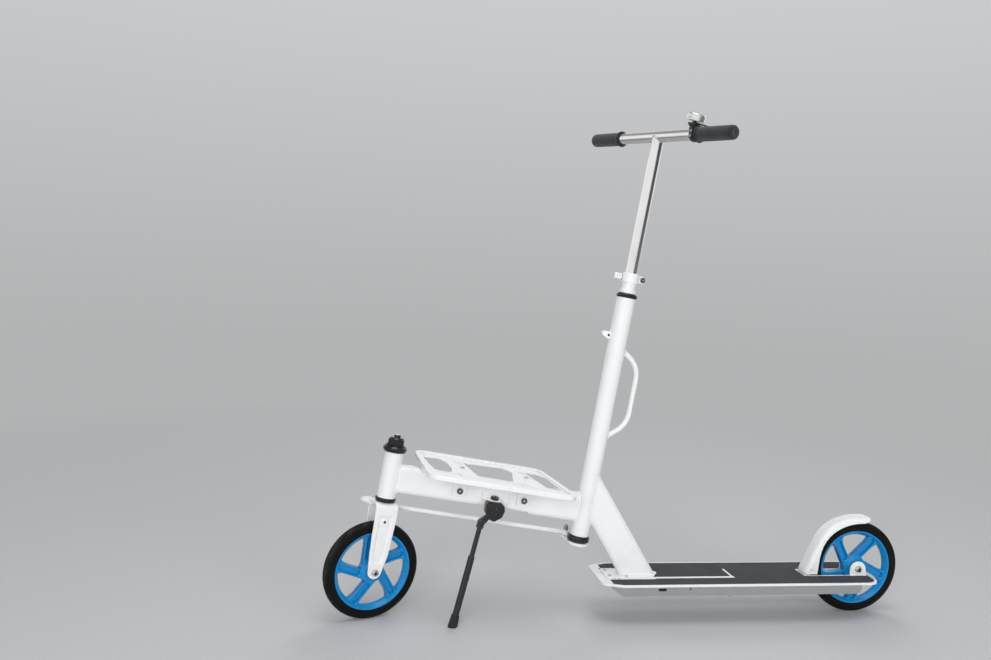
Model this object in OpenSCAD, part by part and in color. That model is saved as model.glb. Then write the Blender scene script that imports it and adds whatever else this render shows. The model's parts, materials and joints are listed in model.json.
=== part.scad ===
// Cargo kick scooter with a link-steered front wheel.
// Units are mm. +Z is up, the scooter points toward -X, its left side is -Y.
// The origin lies on the floor, midway between the two axles.

/* [Wheels] */
// Outside diameter of both tyres
wheel_d = 200; // [192:1:208]
// Width of the tyres
tyre_w = 26; // [22:1:28]
// Distance between the two axles
wheelbase = 1052; // [1030:1:1090]
// Spokes in each wheel
spoke_count = 5; // [4:1:7]
// Diameter of the wheel bolts
axle_d = 8; // [6:0.5:9]

/* [Steering] */
// Angle by which both steering axes lean back
rake_angle = 8.4; // [7:0.1:9.5]
// How far the handlebar and wheel are turned left as it stands
steer_rest = 21; // [0:1:24]
// Distance between the head tube axis and the column axis
axis_gap = 410; // [395:1:430]
// How far the front axle lies ahead of its steering axis
axle_lead = 2.8; // [0:0.2:5]
// Outside diameter of the head tube and of the column tube
frame_tube_d = 39; // [38:0.5:41]
// Sideways reach of the two steering arms
arm_reach = 42; // [41:0.5:45]
// Diameter of the link rod
rod_d = 9; // [7:0.5:10]
// Thickness of the fork legs
leg_t = 4; // [3:0.5:4.5]

/* [Handlebar] */
// Height of the handlebar above the floor
bar_height = 998; // [900:1:1040]
// Distance between the ends of the two grips
bar_width = 434; // [390:2:500]
// Diameter of the handlebar tube
bar_d = 23; // [20:0.5:24]
// Diameter of the sliding stem tube
stem_d = 24; // [22:0.5:25]
// Diameter of the grips
grip_d = 28; // [27:0.5:32]
// Length of the grips
grip_len = 97; // [90:1:110]

/* [Frame] */
// Height of the main beam section
beam_h = 57; // [50:1:60]
// Width of the main beam section
beam_w = 31; // [28:1:40]
// How far the carry handle stands off the column axis
handle_reach = 54.7; // [50:0.1:62]
// Diameter of the carry handle tube
handle_d = 10.5; // [8:0.5:12]

/* [Deck] */
// Width of the deck
deck_w = 147; // [136:1:160]
// Height of the deck top above the floor
deck_top = 86; // [80:1:88]
// Depth of the deck skirt
deck_depth = 23; // [18:1:28]
// Width of the rear wheel slot
slot_w = 39; // [38:0.5:42]

/* [Rack] */
// Length of the rack
rack_len = 309; // [290:1:320]
// Width of the rack
rack_w = 230; // [210:1:250]
// Height of the rack edge
rack_edge = 8.5; // [7:0.5:10]

/* [Kickstand] */
// Diameter of the upper stand rod
stand_rod_d = 10; // [8:0.5:10.5]
// Diameter of the lower stand tube
stand_tube_d = 13.5; // [13:0.5:15]
// How far the stand foot stands out to the left
stand_out = 55; // [50:1:70]

/* [Hidden] */
$fn = 64;

// Fits and gaps
gap = 0.4;
fit = 0.06;

// Wheels
wheel_r = wheel_d / 2;
rim_r = wheel_r - 19.7;
rim_w = tyre_w - 3;
axle_r = axle_d / 2;
bearing_r = 11;
bearing_w = 7;
hub_half = 12;
rear_x = wheelbase / 2;

// Steering frames: the drop keeps the front axle at wheel height while turned
axle_drop = axle_lead * cos(steer_rest) * tan(rake_angle);
front_axis_x = -wheelbase / 2 + axle_lead * cos(steer_rest) / cos(rake_angle);
axis_dx = axis_gap / cos(rake_angle);
axis_rise = axis_gap * tan(rake_angle);
column_axis_x = front_axis_x + axis_dx;
tube_r = frame_tube_d / 2;
tube_bore_r = tube_r - 2.2;

// Heights along the front steering axis, from the axle height
head_s = [150, 243];
crown_top = 141;
crown_t = 6;
beam_top = 219;
beam_s = beam_top - beam_h / 2;
rack_top = 231.5;
// Heights along the column axis
column_s = [71, 573];
arm_s = [51, 57];
rod_s = arm_s[1] + gap + rod_d / 2 + 0.6;
rod_s_front = rod_s + axis_rise;
eye_t = rod_d + 1.2;
steer_tube_r = 14.3;
steer_top = 622;
clamp_s = [605, 624];
bar_s = (bar_height - wheel_r) / cos(rake_angle);
stem_low = 362;
cam_x = 25;
cam_y = 16.5;
stem_r = stem_d / 2;

// Fork
fork_in = max(16.5, tyre_w / 2 + 2.5);
fork_out = fork_in + leg_t;
steerer_r = 14;
arm_lead = 4;
pin_r = 3;
pin_x = -arm_lead;
pin_y = arm_reach;

// Deck
nose_x = column_axis_x + 49.8;
tail_x = rear_x + 27;
plate_t = 4.5;
slot_r = slot_w / 2;
slot_x = rear_x - wheel_r - 9;
skirt_y = deck_w / 2 - 1.5;
skirt_bottom = deck_top - deck_depth;
lug_t = 4;

// Rack
rack_a = [47, 47 + rack_len];
rack_low = rack_top - rack_edge;
bracket_a = [142, 276];
bracket_in = beam_w / 2 + 0.15;

// Kickstand: pivot in the beam frame, leg in the floor frame
stand_a = 217.4;
stand_s = 161.5;
stand_y = -(beam_w / 2 + 14);
stand_px = front_axis_x + stand_a * cos(rake_angle) + stand_s * sin(rake_angle);
stand_pz = wheel_r - stand_a * sin(rake_angle) + stand_s * cos(rake_angle);
elbow = [stand_px - 26, stand_y, stand_pz - 23];
foot = [elbow[0] - 52, -stand_out, 0];
leg_vec = foot - elbow;
leg_len = norm(leg_vec);
leg_yaw = atan2(leg_vec[1], leg_vec[0]);
leg_tilt = acos(leg_vec[2] / leg_len);
rod_end = leg_len - 58;
tube_start = 70;
tube_end = leg_len - 12;
button_at = leg_len - 97;

// Fender
fender_half = slot_r + 0.5;
hinge_x = rear_x - wheel_r - 7.6;
hinge_z = deck_top + 12;

// ---------- placing ----------

module at_front() {
  translate([front_axis_x, 0, wheel_r])
    rotate([0, rake_angle, 0])
      children();
}

module at_column() {
  translate([column_axis_x, 0, wheel_r])
    rotate([0, rake_angle, 0])
      children();
}

module steered() {
  rotate([0, 0, steer_rest])
    children();
}

module at_fork() {
  at_front() steered() children();
}

module at_bars() {
  at_column() steered() children();
}

module at_front_wheel() {
  at_fork()
    translate([-axle_lead, 0, -axle_drop])
      rotate([90, 0, 0])
        children();
}

module at_rear_wheel() {
  translate([rear_x, 0, wheel_r])
    rotate([90, 0, 0])
      children();
}

module at_leg() {
  translate(elbow)
    rotate([0, 0, leg_yaw])
      rotate([0, leg_tilt, 0])
        children();
}

// Points on an arc, for outlines that are cut as one plate
function arc_points(centre, r, first, last, steps) =
  [for (i = [0 : steps]) centre + r * [
    cos(first + (last - first) * i / steps),
    sin(first + (last - first) * i / steps)
  ]];

// Extrudes a side view, drawn in x and z, between two y values
module side_slab(y0, y1) {
  translate([0, y1, 0])
    rotate([90, 0, 0])
      linear_extrude(y1 - y0)
        children();
}

module tube(r_out, r_in, z0, z1) {
  difference() {
    translate([0, 0, z0]) cylinder(r = r_out, h = z1 - z0);
    translate([0, 0, z0 - 1]) cylinder(r = r_in, h = z1 - z0 + 2);
  }
}

module rounded_rect(w, h, r) {
  hull()
    for (x = [-1, 1], y = [-1, 1])
      translate([x * (w / 2 - r), y * (h / 2 - r)])
        circle(r = r, $fn = 32);
}

// ---------- frame ----------

module head_tube() {
  color("white")
    at_front()
      tube(tube_r, tube_bore_r, head_s[0], head_s[1]);
}

module beam_section(h, grow) {
  rounded_rect(beam_w + 2 * grow, h + 2 * grow, 11 + grow);
}

module main_beam() {
  step_a = axis_gap - 120;
  color("white")
    at_front()
      difference() {
        union() {
          translate([0, 0, beam_s])
            rotate([90, 0, 90])
              linear_extrude(axis_gap)
                beam_section(beam_h, 0);
          translate([step_a, 0, beam_s - 1.5])
            rotate([90, 0, 90])
              linear_extrude(axis_gap - step_a)
                beam_section(beam_h + 3, 0);
        }
        translate([24, 0, beam_s])
          rotate([90, 0, 90])
            linear_extrude(axis_gap - 50)
              beam_section(beam_h, -3);
        cylinder(r = tube_r, h = 300);
        translate([axis_gap, 0, 0]) cylinder(r = tube_r, h = 300);
      }
}

module column_tube() {
  color("white")
    at_column()
      tube(tube_r, tube_bore_r, column_s[0], column_s[1]);
}

module down_tube() {
  angle = atan2(83.5, 52.5);
  low_x = nose_x + 88;
  color("white")
    difference() {
      translate([low_x - 52.5, 0, deck_top + 3 + 83.5])
        rotate([0, 90 + angle, 0])
          translate([0, 0, -190])
            difference() {
              linear_extrude(400) rounded_rect(66, beam_w, 12);
              translate([0, 0, -1]) linear_extrude(402) rounded_rect(60, beam_w - 6, 9);
            }
      translate([-400, -100, deck_top + 3 - 400]) cube([900, 200, 400]);
      at_column() translate([-400, -100, -200]) cube([400, 200, 900]);
      at_column() cylinder(r = tube_r, h = 500);
    }
}

// Bow of the carry handle: two bends, two straight ends and a straight grip
module carry_handle() {
  bend_r = 52;
  top_turn = 56;
  low_turn = 50;
  top_s = 409.9;
  low_s = 339.4;
  inner_a = handle_reach - bend_r;
  r = handle_d / 2;
  color("white")
    at_column()
      difference() {
        union() {
          translate([handle_reach, 0, low_s]) cylinder(r = r, h = top_s - low_s);
          translate([inner_a, 0, top_s])
            rotate([90, 0, 0])
              rotate_extrude(angle = top_turn)
                translate([bend_r, 0]) circle(r = r + 0.06);
          translate([inner_a, 0, low_s])
            rotate([90, 0, 0])
              rotate([0, 0, -low_turn])
                rotate_extrude(angle = low_turn)
                  translate([bend_r, 0]) circle(r = r + 0.06);
          translate([inner_a + bend_r * cos(top_turn), 0, top_s + bend_r * sin(top_turn)])
            rotate([0, -top_turn, 0])
              translate([0, 0, -1]) cylinder(r = r, h = (inner_a + bend_r * cos(top_turn) - 8) / sin(top_turn));
          translate([inner_a + bend_r * cos(low_turn), 0, low_s - bend_r * sin(low_turn)])
            rotate([0, 180 + low_turn, 0])
              translate([0, 0, -1]) cylinder(r = r, h = (inner_a + bend_r * cos(low_turn) - 8) / sin(low_turn));
        }
        cylinder(r = tube_r, h = 600);
      }
}

// Cast bag hook with a cross hole, standing off the front of the column
module bag_hook() {
  color("white")
    at_column()
      difference() {
        side_slab(-6, 6)
          union() {
            translate([-31, 493]) circle(r = 5.6);
            translate([-31, 488]) square([12, 10.6]);
            translate([-tube_r - 3.4, 491]) circle(r = 7.4);
          }
        translate([-tube_r - 3.4, 10, 491]) rotate([90, 0, 0]) cylinder(r = 2.6, h = 20);
        cylinder(r = tube_r, h = 600);
      }
}

module head_cups() {
  color("black")
    at_front() {
      difference() {
        union() {
          translate([0, 0, crown_top + gap]) cylinder(r1 = tube_r, r2 = tube_r + 1.3, h = 3);
          translate([0, 0, crown_top + gap + 3])
            cylinder(r = tube_r + 1.3, h = head_s[0] - crown_top - gap - 3);
        }
        translate([0, 0, 140]) cylinder(r = steerer_r + fit, h = 20);
      }
      difference() {
        union() {
          translate([0, 0, head_s[1]]) cylinder(r1 = tube_r + 2.5, r2 = tube_r + 4.5, h = 5);
          translate([0, 0, head_s[1] + 5]) cylinder(r = tube_r + 4.5, h = 4.5);
          translate([0, 0, head_s[1] + 9.5]) cylinder(r1 = tube_r + 3.5, r2 = tube_r + 1, h = 3);
        }
        translate([0, 0, head_s[1] - 1]) cylinder(r = steerer_r + fit, h = 20);
      }
    }
}

module column_cups() {
  color("black")
    at_column() {
      difference() {
        union() {
          translate([0, 0, arm_s[1] + gap]) cylinder(r1 = tube_r - 0.5, r2 = tube_r + 3.6, h = 3);
          translate([0, 0, arm_s[1] + gap + 3])
            cylinder(r = tube_r + 3.6, h = column_s[0] - arm_s[1] - gap - 5);
          translate([0, 0, column_s[0] - 2]) cylinder(r1 = tube_r + 3.6, r2 = tube_r + 1.2, h = 2);
        }
        translate([0, 0, 40]) cylinder(r = steer_tube_r + fit, h = 50);
      }
      difference() {
        union() {
          translate([0, 0, column_s[1]]) cylinder(r1 = tube_r + 0.6, r2 = tube_r + 1.8, h = 2);
          translate([0, 0, column_s[1] + 2]) cylinder(r = tube_r + 1.8, h = 5);
          translate([0, 0, column_s[1] + 7]) cylinder(r1 = tube_r + 1.8, r2 = tube_r - 0.6, h = 1.8);
        }
        translate([0, 0, column_s[1] - 1]) cylinder(r = steer_tube_r + fit, h = 20);
      }
    }
}

// ---------- deck ----------

// Plan of the deck: blunt nose, straight sides, two arms beside the rear wheel
module deck_plan(inset) {
  hw = deck_w / 2 - inset;
  difference() {
    hull() {
      translate([nose_x + inset + 14, 0]) square([1, 2 * (hw - 22)], center = true);
      for (s = [-1, 1]) {
        translate([nose_x + inset + 16, s * (hw - 26)]) circle(r = 16, $fn = 32);
        translate([nose_x + inset + 44, s * (hw - 20)]) circle(r = 20, $fn = 32);
        translate([tail_x - inset - 27, s * (hw - 27)]) circle(r = 27, $fn = 32);
        translate([tail_x - inset - 8, s * (slot_r + inset)]) circle(r = 8, $fn = 32);
      }
    }
    translate([slot_x - inset, -(slot_r + inset)]) square([400, 2 * (slot_r + inset)]);
  }
}

// Plan of the grip tape: all but the mounting plate, with a framed panel behind it
module grip_plan() {
  difference() {
    deck_plan(4);
    translate([nose_x - 39, -34]) square([162, 68]);
    translate([nose_x - 1, -deck_w]) square([24, 2 * deck_w]);
    difference() {
      translate([nose_x + 112, -27]) square([185.5, 53]);
      translate([nose_x + 112, -22]) square([181, 60]);
    }
    translate([slot_x - 15, -slot_r - 2.5]) square([40, 2 * slot_r + 5]);
  }
}

module deck_top_plate() {
  color("white")
    difference() {
      translate([0, 0, deck_top - plate_t]) linear_extrude(plate_t) deck_plan(0);
      translate([0, 0, deck_top - 1]) linear_extrude(2) grip_plan();
    }
}

module grip_tape() {
  color("dimgray")
    translate([0, 0, deck_top - 1])
      linear_extrude(0.9)
        offset(delta = -0.3) grip_plan();
}

module skirt_side() {
  top = deck_top - plate_t;
  polygon([
    [nose_x + 15, top],
    [nose_x + 41, skirt_bottom],
    [tail_x - 58, skirt_bottom],
    [tail_x - 50, skirt_bottom + 2.5],
    [tail_x - 45.5, skirt_bottom + 8],
    [tail_x - 45, top]
  ]);
}

module deck_skirt() {
  top = deck_top - plate_t;
  color("silver")
    difference() {
      union() {
        for (s = [0, 1])
          mirror([0, s, 0]) {
            side_slab(-skirt_y, -skirt_y + 3) skirt_side();
            intersection() {
              side_slab(-slot_r - 3.5, -slot_r - 0.5) skirt_side();
              translate([slot_x - 3, -60, 0]) cube([300, 120, 200]);
            }
            translate([tail_x - 76, -skirt_y + 1, skirt_bottom])
              cube([3, skirt_y - slot_r - 2, deck_depth - plate_t]);
          }
        for (x = [nose_x + 121, nose_x + 231, nose_x + 341, slot_x - 3])
          translate([x, -skirt_y + 1, skirt_bottom])
            cube([3, 2 * skirt_y - 2, deck_depth - plate_t]);
        side_slab(-skirt_y + 1, skirt_y - 1)
          polygon([
            [nose_x + 15, top], [nose_x + 41, skirt_bottom], [nose_x + 44.6, skirt_bottom],
            [nose_x + 18.6, top]
          ]);
        translate([nose_x + 267, -skirt_y, skirt_bottom - 3]) cube([9, 3, 8]);
      }
      for (x = [nose_x + 118, nose_x + 130])
        translate([x, deck_w, deck_top - 10])
          rotate([90, 0, 0]) cylinder(r = 3, h = 2 * deck_w, $fn = 32);
      translate([nose_x + 118, -deck_w, deck_top - 13]) cube([12, 2 * deck_w, 6]);
      translate([nose_x + 184, deck_w, deck_top - 9])
        rotate([90, 0, 0]) cylinder(r = 2, h = 2 * deck_w, $fn = 32);
    }
}

// Foot of the down tube, bolted to the deck
module deck_mount_plate() {
  color("white")
    translate([0, 0, deck_top])
      linear_extrude(3)
        hull() {
          for (s = [-1, 1]) {
            translate([nose_x + 24, s * 22]) circle(r = 7, $fn = 32);
            translate([nose_x + 115, s * 15]) circle(r = 9, $fn = 32);
          }
          translate([nose_x + 127, 0]) circle(r = 7, $fn = 32);
        }
}

module deck_screws() {
  color("silver")
    for (s = [-1, 1], i = [0, 1])
      translate([nose_x + 26 + i * 35, s * (18 + 7 * i), deck_top + 3])
        cylinder(r1 = 4, r2 = 3, h = 2, $fn = 32);
}

module rear_lugs() {
  color("white")
    difference() {
      for (s = [-1, 1])
        translate([rear_x, s * (slot_r + lug_t / 2), 0]) {
          translate([0, lug_t / 2, wheel_r - 2.3])
            rotate([90, 0, 0]) cylinder(r = 18.3, h = lug_t);
          translate([-18.3, -lug_t / 2, deck_top])
            cube([36.6, lug_t, wheel_r - 2.3 - deck_top]);
        }
      translate([rear_x, 100, wheel_r]) rotate([90, 0, 0]) cylinder(r = axle_r, h = 200);
      translate([0, -100, deck_top - 40]) cube([900, 200, 40]);
    }
}

module wheel_bolt(half) {
  cylinder(r = axle_r, h = 2 * half, center = true);
  translate([0, 0, half]) cylinder(r = 7.5, h = 1.5);
  translate([0, 0, half + 1.5]) cylinder(r = 6.2, h = 4.5);
  translate([0, 0, -half - 1.5]) cylinder(r = 7.5, h = 1.5);
  translate([0, 0, -half - 7]) cylinder(r = 6.9, h = 5.5, $fn = 6);
}

module rear_axle() {
  color("silver")
    at_rear_wheel()
      wheel_bolt(slot_r + lug_t);
}

module spacer_pair(far) {
  for (s = [-1, 1])
    mirror([0, 0, s > 0 ? 0 : 1])
      tube(6.5, axle_r, hub_half + gap, far);
}

module rear_spacers() {
  color("silver")
    at_rear_wheel()
      spacer_pair(slot_r);
}

// ---------- wheels ----------

module tyre() {
  w = tyre_w / 2;
  color("black")
    rotate_extrude($fn = 96)
      difference() {
        polygon([
          [rim_r, -rim_w / 2 + 0.4], [rim_r + 2, -w + 0.6], [rim_r + 5.5, -w], [rim_r + 9, -w + 0.3],
          [wheel_r - 5, -w + 2], [wheel_r - 2, -w + 4], [wheel_r - 0.5, -w + 6.5],
          [wheel_r, -w + 8.5], [wheel_r, w - 8.5], [wheel_r - 0.5, w - 6.5], [wheel_r - 2, w - 4],
          [wheel_r - 5, w - 2], [rim_r + 9, w - 0.3], [rim_r + 5.5, w], [rim_r + 2, w - 0.6],
          [rim_r, rim_w / 2 - 0.4]
        ]);
        translate([wheel_r, 0]) circle(r = 0.8, $fn = 12);
      }
}

// Plan of the pocket along a spoke
module pocket_plan() {
  polygon(concat(
    arc_points([26, 13], 4.5, 90, 270, 8),
    arc_points([rim_r - 13, 13], 4.5, -90, 90, 8)
  ));
}

// Plan of one spoke, which passes the hub on one side as all of them do
module spoke_plan() {
  polygon([[0, 3.4], [68, 3.2], [rim_r - 4, 0.5], [rim_r - 4, 25], [68, 22.6], [0, 22.6]]);
}

module spoke_ring() {
  for (i = [0 : spoke_count - 1])
    rotate([0, 0, 360 / spoke_count * i]) children();
}

// Cast wheel: hub, barrel and a ring of spokes with a pocket in each face
module rim() {
  hw = rim_w / 2;
  color("dodgerblue")
    difference() {
      union() {
        rotate_extrude($fn = 96)
          polygon([
            [rim_r - 7.6, -5], [rim_r - 5, -hw + 1.5], [rim_r - 4, -hw], [rim_r, -hw],
            [rim_r, hw], [rim_r - 4, hw], [rim_r - 5, hw - 1.5], [rim_r - 7.6, 5]
          ]);
        cylinder(r = 17, h = 2 * hub_half, center = true);
        translate([0, 0, -8]) linear_extrude(16) spoke_ring() spoke_plan();
      }
      cylinder(r = bearing_r, h = 60, center = true);
      for (s = [-1, 1])
        translate([0, 0, s * 8 - 4.5]) linear_extrude(9) spoke_ring() pocket_plan();
    }
}

module bearing_pair() {
  color("gray")
    for (s = [0, 1])
      mirror([0, 0, s])
        tube(bearing_r, axle_r + fit, hub_half - bearing_w, hub_half);
}

module front_tyre() {
  at_front_wheel() tyre();
}

module front_rim() {
  at_front_wheel() rotate([0, 0, 20.5]) rim();
}

module front_bearings() {
  at_front_wheel() bearing_pair();
}

module rear_tyre() {
  at_rear_wheel() tyre();
}

module rear_rim() {
  at_rear_wheel() rotate([0, 0, 44.3]) rim();
}

module rear_bearings() {
  at_rear_wheel() bearing_pair();
}

// ---------- fork ----------

// Side view of a fork leg in the turned fork frame
module leg_side() {
  union() {
    translate([-axle_lead, 1.5]) circle(r = 15);
    polygon([
      [-22.5, 150], [-25, 138], [-25, 122], [-23.6, 100], [-23.2, 75], [-20.8, 34], [-axle_lead - 15, 2],
      [-axle_lead + 15, 2], [19.5, 35], [21.6, 76], [23.4, 110], [23.4, 138], [20.5, 150]
    ]);
  }
}

// Front view of the fork: two legs joined by a shouldered crown
module fork_front_view() {
  difference() {
    union() {
      translate([-fork_out, -30]) square([2 * fork_out, crown_top - 12 + 30]);
      translate([-fork_out + 12, 0]) square([2 * fork_out - 24, crown_top]);
      for (s = [-1, 1])
        translate([s * (fork_out - 12), crown_top - 12]) circle(r = 12);
    }
    translate([-fork_in, -40]) square([2 * fork_in, crown_top - crown_t - 8 + 40]);
    translate([-fork_in + 8, 0]) square([2 * fork_in - 16, crown_top - crown_t]);
    for (s = [-1, 1])
      translate([s * (fork_in - 8), crown_top - crown_t - 8]) circle(r = 8);
  }
}

// Pressed fork: one bent blade makes both legs, the crown and the steering arm
module fork_blades() {
  arm_z = rod_s_front + eye_t / 2 + gap;
  color("white")
    at_fork()
      difference() {
        union() {
          intersection() {
            translate([-40, 0, 0])
              rotate([90, 0, 90])
                linear_extrude(80) fork_front_view();
            side_slab(-40, 40) leg_side();
          }
          difference() {
            translate([0, 0, arm_z])
              linear_extrude(6)
                hull() {
                  translate([pin_x, pin_y]) circle(r = 9.5, $fn = 32);
                  translate([-26, pin_y - 5]) circle(r = 9.5, $fn = 32);
                  translate([-25, fork_out - 6]) square([46, 4]);
                }
            translate([-50, -fork_in, 0]) cube([100, 2 * fork_in, crown_top - crown_t - 6]);
          }
        }
        translate([pin_x, pin_y, arm_z - 1]) cylinder(r = pin_r, h = 8);
        for (s = [-1, 1])
          scale([1, 1, 1])
            side_slab(s > 0 ? fork_out - 1 : -fork_out - 5, s > 0 ? fork_out + 5 : -fork_out + 1)
              polygon([[-13, 112], [14, 112], [12, 72], [8.5, 42], [-9.5, 42], [-13, 72]]);
        translate([-1, 60, 103]) rotate([90, 0, 0]) cylinder(r = 2.4, h = 120, $fn = 32);
        translate([-axle_lead, 60, -axle_drop]) rotate([90, 0, 0]) cylinder(r = axle_r, h = 120);
      }
}

module fork_steerer() {
  color("gray")
    at_fork()
      tube(steerer_r, 10, crown_top, head_s[1] + 13);
}

module fork_top_nut() {
  s0 = head_s[1] + 13;
  color("black")
    at_fork()
      union() {
        translate([0, 0, s0]) cylinder(r = tube_r - 0.5, h = 2);
        translate([0, 0, s0 + 2]) cylinder(r = 18, h = 11, $fn = 6);
        translate([0, 0, s0 + 13]) cylinder(r1 = 15, r2 = 12, h = 3);
        translate([0, 0, s0 + 16]) cylinder(r1 = 7, r2 = 6, h = 5, $fn = 32);
      }
}

module front_axle() {
  color("silver")
    at_front_wheel()
      wheel_bolt(fork_out);
}

module front_spacers() {
  color("silver")
    at_front_wheel()
      spacer_pair(fork_in);
}

module front_link_pin() {
  arm_z = rod_s_front + eye_t / 2 + gap;
  low = rod_s_front - eye_t / 2 - gap;
  color("silver")
    at_fork()
      translate([pin_x, pin_y, 0]) {
        translate([0, 0, low - 6]) cylinder(r = pin_r, h = arm_z + 6 - low + 6);
        translate([0, 0, arm_z + 6]) cylinder(r = 6, h = 4, $fn = 6);
        translate([0, 0, low - 5]) cylinder(r = 6, h = 5, $fn = 6);
      }
}

// ---------- steering column ----------

module steer_tube() {
  color("white")
    at_bars()
      tube(steer_tube_r, stem_r + fit, arm_s[1], steer_top);
}

module lower_arm() {
  color("white")
    at_bars()
      translate([0, 0, arm_s[0]])
        difference() {
          union() {
            cylinder(r = 23, h = arm_s[1] - arm_s[0]);
            linear_extrude(arm_s[1] - arm_s[0])
              hull() {
                translate([pin_x, pin_y]) circle(r = 9.5, $fn = 32);
                translate([-24, pin_y - 5]) circle(r = 9, $fn = 32);
                translate([-14, 0]) circle(r = 9, $fn = 32);
                translate([12, 0]) circle(r = 10, $fn = 32);
              }
          }
          translate([pin_x, pin_y, -1]) cylinder(r = pin_r, h = 20);
        }
}

module rear_link_pin() {
  top = rod_s + eye_t / 2 + gap;
  color("silver")
    at_bars()
      translate([pin_x, pin_y, 0]) {
        translate([0, 0, arm_s[0]]) cylinder(r = pin_r, h = top + 12 - arm_s[0]);
        translate([0, 0, arm_s[0] - 3]) cylinder(r = 6, h = 3, $fn = 6);
        translate([0, 0, top]) cylinder(r = 6, h = 5, $fn = 6);
        translate([0, 0, top + 5]) cylinder(r = 5, h = 4, $fn = 32);
      }
}

module steer_collar() {
  color("white")
    at_bars()
      difference() {
        union() {
          translate([0, 0, column_s[1] + 8.8 + gap]) cylinder(r = 16.4, h = 5);
          translate([0, 0, column_s[1] + 13.8 + gap]) cylinder(r1 = 16.4, r2 = 15.6, h = 2);
        }
        cylinder(r = steer_tube_r, h = 700);
      }
}

// Band clamp with two ears behind the tube and a slit between them
module clamp_band() {
  mid = (clamp_s[0] + clamp_s[1]) / 2;
  color("white")
    at_bars()
      difference() {
        union() {
          translate([0, 0, clamp_s[0]]) cylinder(r = 16.8, h = clamp_s[1] - clamp_s[0]);
          side_slab(-8, 8) {
            translate([cam_x, mid]) circle(r = 7.6);
            translate([8, mid - 7.6]) square([cam_x - 8, 15.2]);
          }
        }
        translate([0, 0, 500]) cylinder(r = steer_tube_r, h = steer_top - 500);
        translate([0, 0, 500]) cylinder(r = stem_r + 0.3, h = 300);
        translate([14.5, -1, 500]) cube([40, 2, 300]);
        translate([cam_x, 40, mid]) rotate([90, 0, 0]) cylinder(r = 3, h = 80);
      }
}

module clamp_bolt() {
  mid = (clamp_s[0] + clamp_s[1]) / 2;
  color("gray")
    at_bars()
      translate([cam_x, 0, mid]) {
        rotate([90, 0, 0]) {
          translate([0, 0, -cam_y]) cylinder(r = 3, h = cam_y + 11);
          translate([0, 0, 8]) cylinder(r = 5.2, h = 3.4, $fn = 32);
          translate([0, 0, -9.8]) cylinder(r = 4.4, h = 1.8, $fn = 32);
        }
        translate([0, cam_y, 0]) cylinder(r = 4.5, h = 6.4, center = true);
        translate([0, cam_y, 0]) cylinder(r = 2.5, h = 13, center = true);
      }
}

// Cam lever that wraps round the far side of the clamp, forked where it straddles the bolt's eye
module clamp_lever() {
  mid = (clamp_s[0] + clamp_s[1]) / 2;
  color("white")
    at_bars()
      translate([0, 0, mid - 6])
        difference() {
          linear_extrude(12)
            polygon(concat(
              arc_points([cam_x, cam_y], 5.6, -90, 97, 12),
              arc_points([0, 0], 23.3, 58, 148, 16),
              [[-26, 12.6], [-32.2, 11.4]],
              arc_points([-31.6, 7.2], 4.2, 100, 250, 8),
              [[-22.4, 5.6]],
              arc_points([0, 0], 18.2, 159, 54, 18),
              [[17.5, 11.2]]
            ));
          translate([cam_x, cam_y, -1]) cylinder(r = 2.5 + fit, h = 14);
          translate([cam_x - 6.8, cam_y - 12, 2.4]) cube([20, 30, 7.2]);
        }
}

// ---------- handlebar ----------

module stem_tube() {
  color("silver")
    at_bars()
      difference() {
        translate([0, 0, stem_low]) cylinder(r = stem_r, h = bar_s - stem_low);
        translate([0, 0, stem_low - 1]) cylinder(r = stem_r - 2, h = bar_s - stem_low - 20);
        translate([0, 50, bar_s]) rotate([90, 0, 0]) cylinder(r = bar_d / 2, h = 100);
      }
}

module handlebar_tube() {
  half = bar_width / 2 - 5;
  color("silver")
    at_bars()
      translate([0, half, bar_s])
        rotate([90, 0, 0])
          tube(bar_d / 2, bar_d / 2 - 2, 0, 2 * half);
}

module grips() {
  r = grip_d / 2;
  start = bar_width / 2 - grip_len;
  color("dimgray")
    at_bars()
      translate([0, 0, bar_s])
        for (s = [0, 1])
          mirror([0, s, 0])
            rotate([-90, 0, 0])
              rotate_extrude()
                polygon([
                  [bar_d / 2, start], [r + 2, start], [r + 2.6, start + 1.5], [r + 2, start + 3.5],
                  [r - 0.5, start + 5], [r, start + 12], [r, bar_width / 2 - 8],
                  [r - 1.5, bar_width / 2 - 3], [r - 5, bar_width / 2], [0, bar_width / 2],
                  [0, bar_width / 2 - 4.6], [bar_d / 2, bar_width / 2 - 4.6]
                ]);
}

module at_bell() {
  at_bars()
    translate([0, -(bar_width / 2 - grip_len - 24), bar_s])
      rotate([12, 0, 0])
        children();
}

module bell_base() {
  ring_y = bar_width / 2 - grip_len - 9;
  color("black")
    difference() {
      union() {
        at_bars()
          translate([0, -ring_y - 4.5, bar_s])
            rotate([-90, 0, 0]) cylinder(r = bar_d / 2 + 3.2, h = 9);
        at_bell() {
          translate([-6, -16, bar_d / 2 - 2]) cube([12, 20, 8]);
          translate([0, 0, bar_d / 2 + 4]) cylinder(r1 = 9, r2 = 13, h = 4);
          translate([0, 0, bar_d / 2 + 8]) cylinder(r = 13, h = 3);
          translate([0, 0, bar_d / 2 + 11]) cylinder(r = 3, h = 20);
        }
      }
      at_bars()
        translate([0, 0, bar_s])
          rotate([90, 0, 0]) cylinder(r = bar_d / 2, h = bar_width);
    }
}

module bell_dome() {
  z0 = bar_d / 2 + 16;
  color("silver")
    at_bell()
      rotate_extrude()
        polygon([
          [0, z0 + 17], [9, z0 + 16.5], [14.4, z0 + 14.8], [17.4, z0 + 11.6], [18.6, z0 + 6], [18.8, z0],
          [17.4, z0], [17.2, z0 + 6], [15.8, z0 + 10.6], [13.4, z0 + 13.4], [9.5, z0 + 15], [0, z0 + 15]
        ]);
}

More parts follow.
